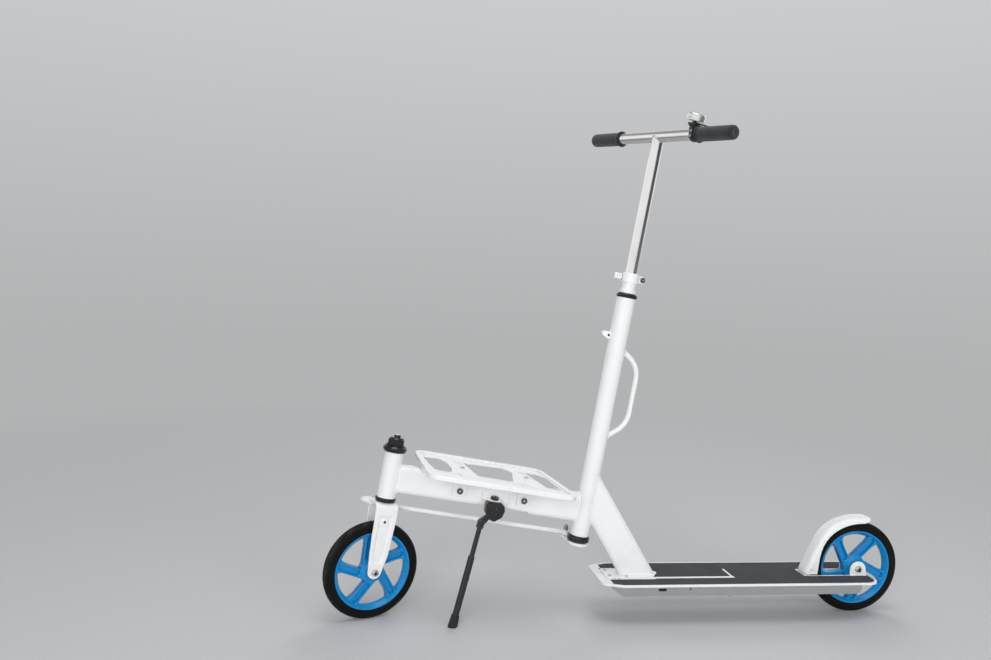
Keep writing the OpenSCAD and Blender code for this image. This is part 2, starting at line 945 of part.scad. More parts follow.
module bell_lever() {
  z0 = bar_d / 2 + 11.4;
  color("black")
    at_bell()
      translate([0, 0, z0])
        difference() {
          linear_extrude(3)
            union() {
              circle(r = 6);
              rotate([0, 0, -35]) translate([3, -3]) square([24, 6]);
              rotate([0, 0, -35]) translate([28, 0]) circle(r = 5);
            }
          translate([0, 0, -1]) cylinder(r = 3 + fit, h = 6);
        }
}

// ---------- link rod ----------

module link_rod() {
  cx = pin_x * cos(steer_rest) - pin_y * sin(steer_rest);
  cy = pin_x * sin(steer_rest) + pin_y * cos(steer_rest);
  color("white")
    at_column()
      translate([cx, cy, rod_s])
        difference() {
          union() {
            rotate([0, -90, 0]) translate([0, 0, 4]) cylinder(r = rod_d / 2, h = axis_gap - 8);
            cylinder(r = 7.5, h = eye_t, center = true);
            translate([-axis_gap, 0, 0]) cylinder(r = 7.5, h = eye_t, center = true);
          }
          cylinder(r = pin_r + fit, h = 40, center = true);
          translate([-axis_gap, 0, 0]) cylinder(r = pin_r + 0.45, h = 40, center = true);
        }
}

// ---------- rack ----------

module rack_outline(inset) {
  hw = rack_w / 2 - inset;
  a0 = rack_a[0] + inset;
  a1 = rack_a[1] - inset;
  r = 30 - inset;
  hull() {
    translate([a0 + r, hw - r]) circle(r = r, $fn = 32);
    translate([a0 + r + 8, r - hw]) circle(r = r, $fn = 32);
    translate([a1 - r - 27, hw - r]) circle(r = r, $fn = 32);
    translate([a1 - r, r - hw]) circle(r = r, $fn = 32);
  }
}

module rack_windows() {
  offset(r = 5, $fn = 32)
    offset(delta = -5) {
      polygon([[70, 54], [97, 60], [106, 32], [111, -37], [106, -55], [86, -63], [76, -16]]);
      polygon([[151, 60], [228, 69], [240, 33], [232, -42], [214, -56], [164, -54]]);
      polygon([[281, 56], [306, 51], [319, 31], [331, -48], [325, -62], [300, -61]]);
    }
}

module rack_slots() {
  for (a = [131, 264], y = [-60, 60])
    translate([a, y])
      hull() {
        translate([-6, 0]) circle(r = 2.6, $fn = 24);
        translate([6, 0]) circle(r = 2.6, $fn = 24);
      }
}

// Cast carrier tray: raised rim, turned-down edge, three windows, strap slots
module rack_plate() {
  color("white")
    at_front()
      difference() {
        union() {
          translate([0, 0, rack_low]) linear_extrude(rack_edge) rack_outline(0);
          translate([0, 0, rack_top])
            linear_extrude(1.6)
              difference() {
                rack_outline(1);
                rack_outline(11);
              }
        }
        translate([0, 0, rack_low - 1]) linear_extrude(rack_edge - 4) rack_outline(4.5);
        translate([0, 0, rack_low - 1]) linear_extrude(20) rack_windows();
        translate([0, 0, rack_low - 1]) linear_extrude(20) rack_slots();
      }
}

module rack_brackets() {
  h_in = bracket_in;
  h_out = bracket_in + 3.6;
  color("white")
    at_front()
      for (a = bracket_a)
        difference() {
          union() {
            translate([a - 14, -h_out, 177]) cube([28, 2 * h_out, 45]);
            translate([a - 11, -16, 221]) cube([22, 32, rack_top - 5 - 221]);
          }
          translate([a - 20, -h_in, 170]) cube([40, 2 * h_in, beam_top + 0.3 - 170]);
          translate([a, 50, 188.5]) rotate([90, 0, 0]) cylinder(r = 3, h = 100, $fn = 32);
        }
}

module rack_bolts() {
  y0 = bracket_in + 3.6;
  color("silver")
    at_front() {
      for (a = bracket_a, s = [0, 1])
        mirror([0, s, 0])
          translate([a, -y0, 188.5])
            rotate([90, 0, 0]) {
              cylinder(r = 8.5, h = 1.4, $fn = 32);
              translate([0, 0, 1.4]) cylinder(r = 6, h = 4.5, $fn = 6);
            }
      for (a = bracket_a)
        translate([a, 0, rack_top]) cylinder(r1 = 4.6, r2 = 3.4, h = 2.2, $fn = 32);
    }
}

// ---------- kickstand ----------

module at_stand() {
  translate([stand_px, 0, stand_pz])
    rotate([0, rake_angle, 0])
      children();
}

// Backing plate and shelf that the stand hangs from
module stand_bracket() {
  y0 = -(beam_w / 2);
  color("white")
    at_front()
      difference() {
        union() {
          translate([stand_a - 28, y0 - 4.5, beam_s - 17]) cube([56, 4.4, 22]);
          translate([stand_a - 36, y0 - 27, stand_s + 19.5]) cube([48, 26.9, 3.4]);
        }
        translate([stand_a - 4, stand_y, stand_s]) cylinder(r = 3 + fit, h = 40, $fn = 32);
      }
}

// Pivot housing: pocket that lets the leg swing down and back, bolted up to the shelf
module stand_housing() {
  color("black")
    at_stand()
      difference() {
        union() {
          side_slab(stand_y - 10.2, stand_y + 9.4)
            polygon([
              [-20.5, 13], [-17, 19.5], [8, 19.5], [17, 13.5], [19.5, 4.5], [16, -9.5], [2, -20],
              [-8, -18], [-19.8, -4]
            ]);
          rotate([90, 0, 0])
            translate([0, 0, -stand_y + 10])
              cylinder(r = 9, h = 1.8);
          translate([-4, stand_y, 15]) cylinder(r = 3, h = 9.4, $fn = 32);
          translate([-4, stand_y, 22.9]) cylinder(r = 6.6, h = 4.4, $fn = 6);
        }
        translate([0, stand_y + 5.9, 0])
          rotate([90, 0, 0])
            cylinder(r = 14, h = 11.8);
        side_slab(stand_y - 5.9, stand_y + 5.9)
          polygon([[-8, 0], [-40, -8], [-40, -40], [40, -40], [40, 8], [0, 11], [-4, 6]]);
        translate([0, stand_y + 40, 0]) rotate([90, 0, 0]) cylinder(r = 4, h = 80);
      }
}

module stand_pin() {
  color("gray")
    at_stand()
      translate([0, stand_y, 0])
        rotate([90, 0, 0]) {
          cylinder(r = 4, h = 18.8, center = true);
          translate([0, 0, 11.8]) cylinder(r = 5.5, h = 1.6, $fn = 32);
          translate([0, 0, 9.4]) cylinder(r = 4, h = 3, $fn = 32);
        }
}

module stand_leg() {
  color("black")
    difference() {
      union() {
        translate([stand_px, stand_y, stand_pz])
          rotate([90, 0, 0]) cylinder(r = 13, h = 11, center = true);
        hull() {
          translate([stand_px - 4, stand_y, stand_pz - 4]) sphere(r = 5.4, $fn = 24);
          translate(elbow) rotate([90, 0, 0]) cylinder(r = 7, h = 10.4, center = true, $fn = 32);
        }
        at_leg() {
          translate([0, 0, -3]) cylinder(r = 7.5, h = 15);
          cylinder(r = stand_rod_d / 2, h = rod_end);
        }
      }
      translate([stand_px, stand_y, stand_pz]) rotate([90, 0, 0]) cylinder(r = 4 + fit, h = 40, center = true);
    }
}

module stand_tube() {
  color("black")
    at_leg()
      difference() {
        translate([0, 0, tube_start]) cylinder(r = stand_tube_d / 2, h = tube_end - tube_start);
        translate([0, 0, tube_start - 1])
          cylinder(r = stand_rod_d / 2 + fit, h = rod_end + 32 - tube_start);
        translate([0, 0, button_at]) rotate([0, 90, 0]) cylinder(r = 2.1, h = 20, $fn = 32);
      }
}

module stand_button() {
  r_in = stand_rod_d / 2 + 1.3;
  color("black")
    at_leg()
      translate([0, 0, button_at])
        rotate([0, 90, 0])
          translate([0, 0, r_in]) cylinder(r = 2, h = stand_tube_d / 2 + 1.8 - r_in, $fn = 32);
}

module stand_foot() {
  color("black")
    difference() {
      at_leg()
        difference() {
          union() {
            translate([0, 0, leg_len - 24]) cylinder(r1 = 8.2, r2 = 9.4, h = 17);
            translate([0, 0, leg_len - 7]) cylinder(r = 9.4, h = 14);
          }
          translate([0, 0, leg_len - 40]) cylinder(r = stand_tube_d / 2, h = tube_end - leg_len + 40);
        }
      translate([foot[0] - 60, foot[1] - 60, -60]) cube([120, 120, 60]);
    }
}

// ---------- rear fender brake ----------

// Side view of the fender: an arc about the rear axle, a straight front and a short foot
module fender_side(inner_r, shift = 0) {
  difference() {
    polygon(concat(
      arc_points([rear_x, wheel_r], wheel_r + 13, 77, 140, 18),
      [
        [rear_x - 122, deck_top + 8], [rear_x - 121, deck_top + 1.6], [rear_x - 93, deck_top + 1.6],
        [rear_x - 90, wheel_r + 30], [rear_x, wheel_r], [rear_x + 10, wheel_r + 97.5],
        [rear_x + 22.5, wheel_r + 104.5]
      ]
    ));
    translate([rear_x + shift, wheel_r]) circle(r = inner_r);
  }
}

module fender_front_limit() {
  polygon([
    [rear_x - 200, 0], [rear_x - 90.5, 0], [rear_x - 90.5, wheel_r + 33], [rear_x - 60, wheel_r + 60],
    [rear_x + 200, wheel_r + 60], [rear_x + 200, 400], [rear_x - 200, 400]
  ]);
}

// Skin and foot of the brake fender, between its two sides
module fender_brake() {
  inner = fender_half - 3;
  color("white")
    difference() {
      side_slab(-inner, inner)
        intersection() {
          fender_side(wheel_r + 9, 4);
          fender_front_limit();
        }
      side_slab(-inner - 1, inner + 1)
        polygon([
          [rear_x - 118, 0], [rear_x - 118, deck_top + 8], [rear_x - 99, wheel_r + 34],
          [rear_x - 60, wheel_r + 34], [rear_x - 60, 0]
        ]);
    }
}

// The turned-down sides, which carry the hinge and shield the tyre's shoulders
module fender_sides() {
  color("white")
    difference() {
      for (s = [0, 1])
        mirror([0, s, 0])
          side_slab(-fender_half, -fender_half + 3)
            intersection() {
              fender_side(wheel_r - 1);
              fender_front_limit();
            }
      translate([hinge_x, 60, hinge_z]) rotate([90, 0, 0]) cylinder(r = 3 + fit, h = 120);
    }
}

// Hinge block of the fender, bolted to the deck ahead of the wheel
module fender_pin() {
  color("gray")
    union() {
      translate([hinge_x, 0, hinge_z])
        rotate([90, 0, 0]) cylinder(r = 3, h = 2 * fender_half + 1, center = true);
      translate([hinge_x - 9.8, -fender_half + 3.5, deck_top]) cube([10, 2 * fender_half - 7, 8]);
      translate([hinge_x - 5, -fender_half + 3.5, deck_top + 7]) cube([6.5, 2 * fender_half - 7, 6]);
    }
}

head_tube();
main_beam();
column_tube();
down_tube();
carry_handle();
bag_hook();
deck_top_plate();
deck_skirt();
deck_mount_plate();
deck_screws();
grip_tape();
rear_lugs();
rear_axle();
rear_spacers();
fender_pin();
head_cups();
column_cups();
rack_plate();
rack_brackets();
rack_bolts();
stand_bracket();
stand_housing();
stand_pin();
fork_blades();
fork_steerer();
fork_top_nut();
front_axle();
front_spacers();
front_link_pin();
front_tyre();
front_rim();
front_bearings();
rear_tyre();
rear_rim();
rear_bearings();
steer_tube();
lower_arm();
rear_link_pin();
steer_collar();
clamp_band();
clamp_bolt();
clamp_lever();
stem_tube();
handlebar_tube();
grips();
bell_base();
bell_dome();
bell_lever();
link_rod();
stand_leg();
stand_tube();
stand_foot();
stand_button();
fender_brake();
fender_sides();
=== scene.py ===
import json
import math

import bmesh
import bpy
from mathutils import Matrix, Vector


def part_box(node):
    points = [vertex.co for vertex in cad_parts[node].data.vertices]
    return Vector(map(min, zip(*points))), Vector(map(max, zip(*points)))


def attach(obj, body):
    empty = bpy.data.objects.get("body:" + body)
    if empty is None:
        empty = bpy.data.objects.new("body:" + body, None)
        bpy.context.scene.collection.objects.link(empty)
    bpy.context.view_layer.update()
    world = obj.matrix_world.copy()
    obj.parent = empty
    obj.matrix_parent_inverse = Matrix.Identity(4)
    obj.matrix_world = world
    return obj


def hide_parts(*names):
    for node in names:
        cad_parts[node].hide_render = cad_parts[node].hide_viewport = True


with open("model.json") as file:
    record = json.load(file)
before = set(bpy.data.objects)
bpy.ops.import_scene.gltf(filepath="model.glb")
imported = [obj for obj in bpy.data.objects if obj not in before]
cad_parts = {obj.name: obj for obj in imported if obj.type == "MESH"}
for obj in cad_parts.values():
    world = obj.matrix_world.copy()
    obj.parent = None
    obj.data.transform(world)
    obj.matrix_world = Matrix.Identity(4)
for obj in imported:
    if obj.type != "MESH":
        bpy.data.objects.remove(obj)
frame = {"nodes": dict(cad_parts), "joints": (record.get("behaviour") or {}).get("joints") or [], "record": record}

bl_info = {
    "name": "Kick scooter dressing",
    "version": (1, 0, 0),
    "blender": (4, 5, 0),
    "location": "3D View > Sidebar > Scooter",
    "description": "Dresses a packed kick scooter with its coats, welds, wheels, grips and trim",
    "category": "Object",
}

MM = 0.001
JOINTS = {joint["name"]: joint for joint in frame["joints"]}
BODY_OF = {node: body for body, nodes in frame["record"]["behaviour"]["bodies"].items() for node in nodes}
SLOT_OF = {part["node"]: part["material_slot"] for part in frame["record"]["subparts"]}
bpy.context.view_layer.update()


# ---------- places, in millimetres, read from the joints ----------


def local_frame(origin, x_axis, y_axis, z_axis):
    """A matrix that turns millimetres in a local frame into metres on the floor frame."""
    place = Matrix.Identity(4)
    for column, axis in enumerate((x_axis, y_axis, z_axis)):
        place.col[column] = (*(Vector(axis) * MM), 0)
    place.col[3] = (*origin, 1)
    return place


def rotation(degrees, axis):
    """A turn about one axis, in degrees."""
    return Matrix.Rotation(math.radians(degrees), 4, axis)


def outward(x, y, z, side):
    """A place on one side of the scooter with its axis pointing away from the middle."""
    return Matrix.Translation((x, side * y, z)) @ rotation(-side * 90, "X")


UP = Vector(JOINTS["steer"]["axis"])
SIDE = Vector((0, 1, 0))
AHEAD = SIDE.cross(UP)
FRONT_AXIS = Vector(JOINTS["fork_steer"]["pos_m"]) - 0.2 * UP
COLUMN_AXIS = Vector(JOINTS["steer"]["pos_m"]) - 0.3 * UP
WHEEL_AXIS = Vector(JOINTS["front_wheel_spin"]["axis"])
TURN = math.atan2(-WHEEL_AXIS.dot(AHEAD), WHEEL_AXIS.dot(SIDE))
FRONT = local_frame(FRONT_AXIS, AHEAD, SIDE, UP)
COLUMN = local_frame(COLUMN_AXIS, AHEAD, SIDE, UP)
FORK = FRONT @ Matrix.Rotation(TURN, 4, "Z")
BARS = COLUMN @ Matrix.Rotation(TURN, 4, "Z")
FORK_AHEAD = (FORK.to_3x3() @ Vector((1, 0, 0))).normalized()
FRONT_HUB = Vector(JOINTS["front_wheel_spin"]["pos_m"])
REAR_HUB = Vector(JOINTS["rear_wheel_spin"]["pos_m"])
FRONT_WHEEL = local_frame(FRONT_HUB, FORK_AHEAD, UP, -WHEEL_AXIS)
REAR_WHEEL = local_frame(REAR_HUB, (1, 0, 0), (0, 0, 1), (0, -1, 0))
FLOOR = local_frame((0, 0, 0), (1, 0, 0), (0, 1, 0), (0, 0, 1))


def seen_size(node, axis):
    """How far a CAD node reaches along one axis, in millimetres."""
    low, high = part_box(node)
    return (high[axis] - low[axis]) / MM


WHEEL_R = REAR_HUB.z / MM
RIM_R = WHEEL_R - 19.7
DECK_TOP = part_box("deck_mount_plate")[0].z / MM
DECK_HALF = seen_size("deck_top_plate", 1) / 2
BAR_LOW, BAR_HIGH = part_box("handlebar_tube")
BAR_S = ((BAR_LOW.z + BAR_HIGH.z) / 2 - COLUMN_AXIS.z) / UP.z / MM
BAR_R = 11.5
GRIP_R = 14.0
GRIP_LEN = 97.0
GRIP_END = 217.0
TUBE_R = 19.5
BEAM_H = 57.0
BEAM_W = seen_size("main_beam", 1)
BEAM_S = 190.5
STEM_R = 12.0
STEM_LOW = 362.0
ARM_S = 128.5
LINK_PIN = (-4, 42)
RACK_BOLTS = (142.0, 276.0)
RACK_BOLT_S = 188.5
STAND_X = 217.4
HALF_TURN = rotation(180, "X")
QUARTER_TURN = rotation(90, "X")
STAND_Y = -(BEAM_W / 2 + 14)
BELL = BARS @ Matrix.Translation((0, -96, BAR_S)) @ rotation(12, "X")
STAND = local_frame((Vector(JOINTS["stand_fold"]["pos_m"]) * Vector((1, 0, 1))), AHEAD, SIDE, UP)
FENDER_HALF = seen_size("fender_sides", 1) / 2
RACK_TOP = 231.5
RACK_HALF = 115.0
RACK_ENDS = (51.0, 360.0)
RACK_WINDOWS = (
    [(66, 60), (98, 66), (112, 40), (118, -12), (114, -50), (84, -66), (74, -18)],
    [(150, 60), (238, 70), (253, 38), (239, -50), (225, -60), (168, -56)],
    [(284, 62), (310, 60), (326, 40), (338, -58), (330, -66), (306, -58)],
)


# ---------- settings a user would change ----------


def length_setting(label, text, value, low, high):
    return bpy.props.FloatProperty(name=label, description=text, default=value, min=low, max=high, unit="LENGTH")


def colour_setting(label, text, value):
    return bpy.props.FloatVectorProperty(
        name=label, description=text, subtype="COLOR", size=3, min=0, max=1, default=value)


class ScooterSizes(bpy.types.PropertyGroup):
    """Sizes of the details that dress the frame."""

    weld_radius: length_setting("Weld radius", "Half the width of a weld bead", 0.0024, 0.001, 0.005)
    weld_pitch: length_setting("Weld pitch", "Distance between two ripples of a weld", 0.0022, 0.001, 0.006)
    rail_width: length_setting("Spoke rail", "Width of the two rails along a spoke", 0.0036, 0.002, 0.006)
    spokes: bpy.props.IntProperty(name="Spokes", description="Spokes in a wheel", default=5, min=3, max=9)


class ScooterColours(bpy.types.PropertyGroup):
    """Colours of the coats and mouldings."""

    paint: colour_setting("Powder coat", "Colour of the frame", (0.86, 0.865, 0.87))
    wheel: colour_setting("Wheels", "Colour of the cast wheels", (0.0, 0.235, 0.56))
    tyre: colour_setting("Tyres", "Colour of the tyres", (0.0045, 0.0045, 0.005))
    grip: colour_setting("Grips", "Colour of the foam grips", (0.014, 0.017, 0.021))
    tape: colour_setting("Deck tape", "Colour of the gritty deck tape", (0.072, 0.078, 0.086))
    backdrop: colour_setting("Backdrop", "Colour of the floor and backdrop", (0.62, 0.625, 0.63))


# ---------- materials ----------


class Graph:
    """Makes the nodes of one tree and links or sets their inputs. A node as an input means its first output."""

    def node(self, kind, inputs=None, **settings):
        made = self.tree.nodes.new(kind)
        for key, value in settings.items():
            setattr(made, key, value)
        for key, value in (inputs or {}).items():
            if isinstance(value, bpy.types.Node):
                value = value.outputs[0]
            if isinstance(value, bpy.types.NodeSocket):
                self.tree.links.new(value, made.inputs[key])
            else:
                made.inputs[key].default_value = value
        return made


class Finish(Graph):
    """A node graph that ends in one Principled shader and reads Object coordinates."""

    def __init__(self, name, colour, roughness, metallic=0.0, **constants):
        self.material = bpy.data.materials.new(name)
        self.material.use_nodes = True
        self.tree = self.material.node_tree
        self.shader = self.tree.nodes["Principled BSDF"]
        self.shader.inputs["Base Color"].default_value = (*colour, 1)
        self.shader.inputs["Roughness"].default_value = roughness
        self.shader.inputs["Metallic"].default_value = metallic
        for socket, value in constants.items():
            self.shader.inputs[socket.replace("_", " ")].default_value = value
        self.place = self.node("ShaderNodeTexCoord").outputs["Object"]
        self.colour = tuple(colour)
        self.tint = None
        self.height = None

    def stretched(self, scale):
        return self.node("ShaderNodeMapping", {"Vector": self.place, "Scale": scale}).outputs[0]

    def noise(self, scale, detail=4.0, roughness=0.55, place=None):
        return self.node("ShaderNodeTexNoise", {
            "Vector": place or self.place, "Scale": scale, "Detail": detail, "Roughness": roughness,
        }).outputs["Fac"]

    def cells(self, scale):
        return self.node("ShaderNodeTexVoronoi", {"Vector": self.place, "Scale": scale}).outputs["Distance"]

    def remap(self, value, low, high, to_low=0.0, to_high=1.0):
        return self.node("ShaderNodeMapRange", {
            "Value": value, "From Min": low, "From Max": high, "To Min": to_low, "To Max": to_high,
        }).outputs[0]

    def math(self, operation, a, b=0.0):
        return self.node("ShaderNodeMath", {0: a, 1: b}, operation=operation).outputs[0]

    def edge(self, radius):
        """1 along sharp edges, 0 on flats and in hollows; black coat paints these edges lighter, partly as rubbed wear
        and partly as a painted edge highlight.
        """
        soft = self.node("ShaderNodeBevel", {"Radius": radius}, samples=6).outputs[0]
        plain = self.node("ShaderNodeNewGeometry").outputs["Normal"]
        bend = self.node("ShaderNodeVectorMath", {0: soft, 1: plain}, operation="DOT_PRODUCT").outputs["Value"]
        return self.remap(bend, 0.995, 0.90)

    def mix(self, factor, colour):
        """Lays a colour over what the base already is, by factor."""
        base = self.tint if self.tint is not None else (*self.colour, 1)
        self.tint = self.graded(factor, base, (*colour, 1))
        self.tree.links.new(self.tint, self.shader.inputs["Base Color"])

    def graded(self, factor, low, high):
        """A colour that goes from low to high with the factor."""
        return self.node("ShaderNodeMix", {"Factor": factor, 6: low, 7: high}, data_type="RGBA").outputs[2]

    def rough(self, value, low, high, to_low, to_high):
        self.tree.links.new(self.remap(value, low, high, to_low, to_high), self.shader.inputs["Roughness"])

    def bump(self, value, strength, distance):
        inputs = {"Height": value, "Strength": strength, "Distance": distance}
        if self.height is not None:
            inputs["Normal"] = self.height
        self.height = self.node("ShaderNodeBump", inputs).outputs[0]
        self.tree.links.new(self.height, self.shader.inputs["Normal"])

    def times(self, a, b):
        return self.math("MULTIPLY", a, b)

    def shaded(self, factor, lift=0.0):
        """The finish's own colour, darker or paler."""
        return tuple(c * factor + lift for c in self.colour)

    def speckle(self, noise, low, high, share, colour):
        """Lays a colour over the base in patches of noise."""
        self.mix(self.remap(self.noise(*noise), low, high, 0.0, share), colour)

    def uneven(self, noise, smooth, dull):
        """Lets the roughness wander between two values."""
        self.rough(self.noise(*noise), 0.3, 0.7, smooth, dull)

    def textured(self, noise, strength, distance):
        self.bump(self.noise(*noise), strength, distance)

    def attribute(self, name):
        return self.node("ShaderNodeAttribute", attribute_name=name).outputs["Fac"]

    def low_places(self, top, bottom):
        """1 near the floor, 0 above."""
        height = self.node("ShaderNodeSeparateXYZ", {0: self.place}).outputs["Z"]
        return self.remap(height, top, bottom)


def powder_coat(name, colour, shine=0.24):
    finish = Finish(name, colour, shine, Coat_Weight=0.3, Coat_Roughness=0.1, Specular_IOR_Level=0.45)
    patches = finish.remap(finish.noise(42.0, 8, 0.7), 0.50, 0.78)
    grime = finish.times(patches, finish.low_places(0.24, 0.02))
    finish.speckle((7.0, 5), 0.35, 0.75, 1.0, finish.shaded(0.975))
    finish.mix(finish.times(grime, 0.28), (0.45, 0.42, 0.38))
    finish.uneven((30.0, 4), shine - 0.03, shine + 0.03)
    finish.textured((520.0, 2), 0.02, 0.0005)
    return finish.material


def cast_enamel(name, colour):
    finish = Finish(name, colour, 0.3, Coat_Weight=0.25, Coat_Roughness=0.12, Specular_IOR_Level=0.4)
    finish.speckle((16.0, 5), 0.35, 0.75, 0.4, finish.shaded(0.80))
    finish.mix(finish.times(finish.remap(finish.noise(70.0, 8, 0.7), 0.58, 0.8), 0.12), (0.16, 0.32, 0.48))
    finish.uneven((60.0, 6), 0.24, 0.38)
    finish.textured((420.0, 3), 0.04, 0.0005)
    return finish.material


def tyre_rubber(name, colour):
    finish = Finish(name, colour, 0.62, Specular_IOR_Level=0.15)
    tread = finish.attribute("tread")
    dust = finish.remap(finish.noise(60.0, 9, 0.72), 0.42, 0.75)
    finish.speckle((14.0, 5), 0.4, 0.7, 0.5, (0.010, 0.010, 0.010))
    finish.mix(finish.times(finish.times(dust, tread), 0.5), (0.085, 0.080, 0.074))
    finish.rough(finish.math("ADD", finish.noise(80.0, 5), finish.times(tread, 0.35)), 0.35, 1.0, 0.40, 0.80)
    finish.textured((900.0, 4), 0.10, 0.0005)
    finish.textured((160.0, 5, 0.7), 0.10, 0.0008)
    return finish.material


def foam_grip(name, colour):
    finish = Finish(name, colour, 0.86, Specular_IOR_Level=0.25, Sheen_Weight=0.25, Sheen_Roughness=0.6)
    finish.speckle((30.0, 6), 0.35, 0.7, 0.6, finish.shaded(1.5))
    finish.mix(finish.remap(finish.cells(1500.0), 0.0, 0.35, 0.5, 0.0), finish.shaded(0.35))
    finish.bump(finish.cells(1100.0), 0.35, 0.0006)
    finish.textured((120.0, 4), 0.12, 0.0008)
    return finish.material


def moulded_black(name, colour, shine):
    finish = Finish(name, colour, shine, Specular_IOR_Level=0.5)
    finish.speckle((50.0, 8, 0.7), 0.55, 0.8, 0.5, finish.shaded(1, 0.02))
    finish.uneven((90.0, 6), max(0.05, shine - 0.08), shine + 0.14)
    finish.textured((700.0, 3), 0.06, 0.0005)
    return finish.material


def black_coat(name, colour):
    finish = Finish(name, colour, 0.34, Coat_Weight=0.2, Coat_Roughness=0.2)
    finish.speckle((80.0, 8, 0.7), 0.56, 0.8, 0.4, (0.07, 0.068, 0.065))
    # Lighter grey along the edges: partly rubbed wear, partly a painted edge highlight.
    rubbed_and_highlit = finish.times(finish.edge(0.0009), finish.remap(finish.noise(140.0, 6), 0.52, 0.66))
    finish.mix(rubbed_and_highlit, (0.25, 0.25, 0.25))
    finish.uneven((90.0, 6), 0.26, 0.48)
    finish.textured((480.0, 3), 0.10, 0.0007)
    return finish.material


def polished_steel(name, colour, shine, grain=(1.0, 1.0, 1.0)):
    finish = Finish(name, colour, shine, metallic=1.0)
    streaks = finish.noise(260.0, 4, 0.6, finish.stretched(grain))
    smears = finish.noise(24.0, 6)
    finish.mix(finish.remap(smears, 0.35, 0.75, 0.0, 0.4), finish.shaded(0.86))
    worn = finish.math("ADD", streaks, finish.times(smears, 0.8))
    finish.rough(worn, 0.5, 1.3, shine - 0.04, shine + 0.12)
    finish.bump(streaks, 0.03, 0.0003)
    return finish.material


def plated_zinc(name, colour=(0.56, 0.56, 0.55)):
    finish = Finish(name, colour, 0.32, metallic=1.0)
    finish.speckle((120.0, 8, 0.7), 0.45, 0.75, 0.8, (0.36, 0.35, 0.33))
    finish.speckle((300.0, 5), 0.64, 0.74, 0.7, (0.20, 0.13, 0.08))
    finish.uneven((220.0, 6), 0.22, 0.45)
    finish.textured((700.0, 4), 0.08, 0.0004)
    return finish.material


def drawn_aluminium(name, colour=(0.44, 0.45, 0.455)):
    finish = Finish(name, colour, 0.46, metallic=0.6)
    lines = finish.noise(900.0, 3, 0.6, finish.stretched((0.02, 1.0, 1.0)))
    finish.speckle((20.0, 6), 0.35, 0.75, 0.4, finish.shaded(0.82))
    finish.speckle((90.0, 8, 0.75), 0.60, 0.80, 0.4, (0.30, 0.28, 0.25))
    finish.rough(lines, 0.3, 0.7, 0.34, 0.54)
    finish.bump(lines, 0.07, 0.0004)
    return finish.material


def grit_tape(name, colour):
    finish = Finish(name, colour, 0.85, Specular_IOR_Level=0.35)
    grit = finish.cells(1250.0)
    sparkle = finish.remap(finish.cells(2100.0), 0.05, 0.0)
    wear = finish.remap(finish.noise(13.0, 8, 0.65), 0.45, 0.75)
    finish.mix(finish.times(wear, 0.5), finish.shaded(1.7, 0.02))
    finish.mix(finish.remap(grit, 0.15, 0.6, 0.0, 0.55), finish.shaded(0.45))
    finish.mix(finish.times(sparkle, 0.6), (0.30, 0.32, 0.35))
    finish.bump(grit, 0.5, 0.0006)
    return finish.material


MATERIALS = {}


def make_materials(colours):
    """One finish for each of the record's slots, and a few that only small trim uses."""
    MATERIALS.update({
        "frame_paint": powder_coat("powder_coat_white", tuple(colours.paint)),
        "fender_plastic": powder_coat("moulded_white", tuple(c * 0.99 for c in colours.paint), 0.28),
        "wheel_blue": cast_enamel("cast_azure", tuple(colours.wheel)),
        "tyre_rubber": tyre_rubber("tyre_black", tuple(colours.tyre)),
        "polished_bar": polished_steel("polished_bar", (0.78, 0.77, 0.76), 0.16, (1.0, 1.0, 0.04)),
        "grip_foam": foam_grip("foam_grip", tuple(colours.grip)),
        "black_plastic": moulded_black("moulded_black", (0.010, 0.010, 0.011), 0.16),
        "stand_black": black_coat("black_coat", (0.014, 0.014, 0.015)),
        "stand_rubber": moulded_black("rubber_foot", (0.014, 0.014, 0.014), 0.55),
        "deck_grip": grit_tape("deck_tape", tuple(colours.tape)),
        "deck_aluminium": drawn_aluminium("drawn_aluminium"),
        "zinc_steel": plated_zinc("plated_zinc"),
        "dark_zinc": plated_zinc("dark_zinc", (0.17, 0.17, 0.17)),
        "bell_chrome": polished_steel("bell_chrome", (0.86, 0.86, 0.85), 0.36),
        "tip_grey": moulded_black("tip_grey", (0.42, 0.43, 0.44), 0.35),
    })


# ---------- mesh helpers ----------


def linked(name, data):
    """A new object in the scene's own collection."""
    made = bpy.data.objects.new(name, data)
    bpy.context.scene.collection.objects.link(made)
    return made


def evaluated(piece):
    """A plain mesh of what an object's modifiers or curve settings make."""
    bpy.context.view_layer.update()
    return bpy.data.meshes.new_from_object(piece.evaluated_get(bpy.context.evaluated_depsgraph_get()))


def new_piece(name, build, place=FLOOR, slot="frame_paint", angle=38.0):
    """Makes a mesh from a bmesh that build() fills in millimetres, and puts it in place in metres."""
    shape = bmesh.new()
    build(shape)
    bmesh.ops.remove_doubles(shape, verts=shape.verts, dist=0.002)
    bmesh.ops.transform(shape, matrix=place, verts=shape.verts)
    bmesh.ops.recalc_face_normals(shape, faces=shape.faces)
    mesh = bpy.data.meshes.new(name)
    shape.to_mesh(mesh)
    shape.free()
    mesh.materials.append(MATERIALS[slot])
    mesh.polygons.foreach_set("use_smooth", [True] * len(mesh.polygons))
    mesh.set_sharp_from_angle(angle=math.radians(angle))
    return linked(name, mesh)


def round_edges(piece, width, segments, angle):
    """Rounds sharp edges with a bevel and weights the normals so that flats stay flat."""
    bevel = piece.modifiers.new("round_edges", "BEVEL")
    bevel.width = width
    bevel.segments = segments
    bevel.limit_method = "ANGLE"
    bevel.angle_limit = math.radians(angle)
    weight = piece.modifiers.new("weigh_normals", "WEIGHTED_NORMAL")
    weight.keep_sharp = False
    piece.data.polygons.foreach_set("use_smooth", [True] * len(piece.data.polygons))
    attribute = piece.data.attributes.get("sharp_edge")
    if attribute:
        piece.data.attributes.remove(attribute)
    mesh = evaluated(piece)
    mesh.name = piece.name
    piece.modifiers.clear()
    piece.data = mesh


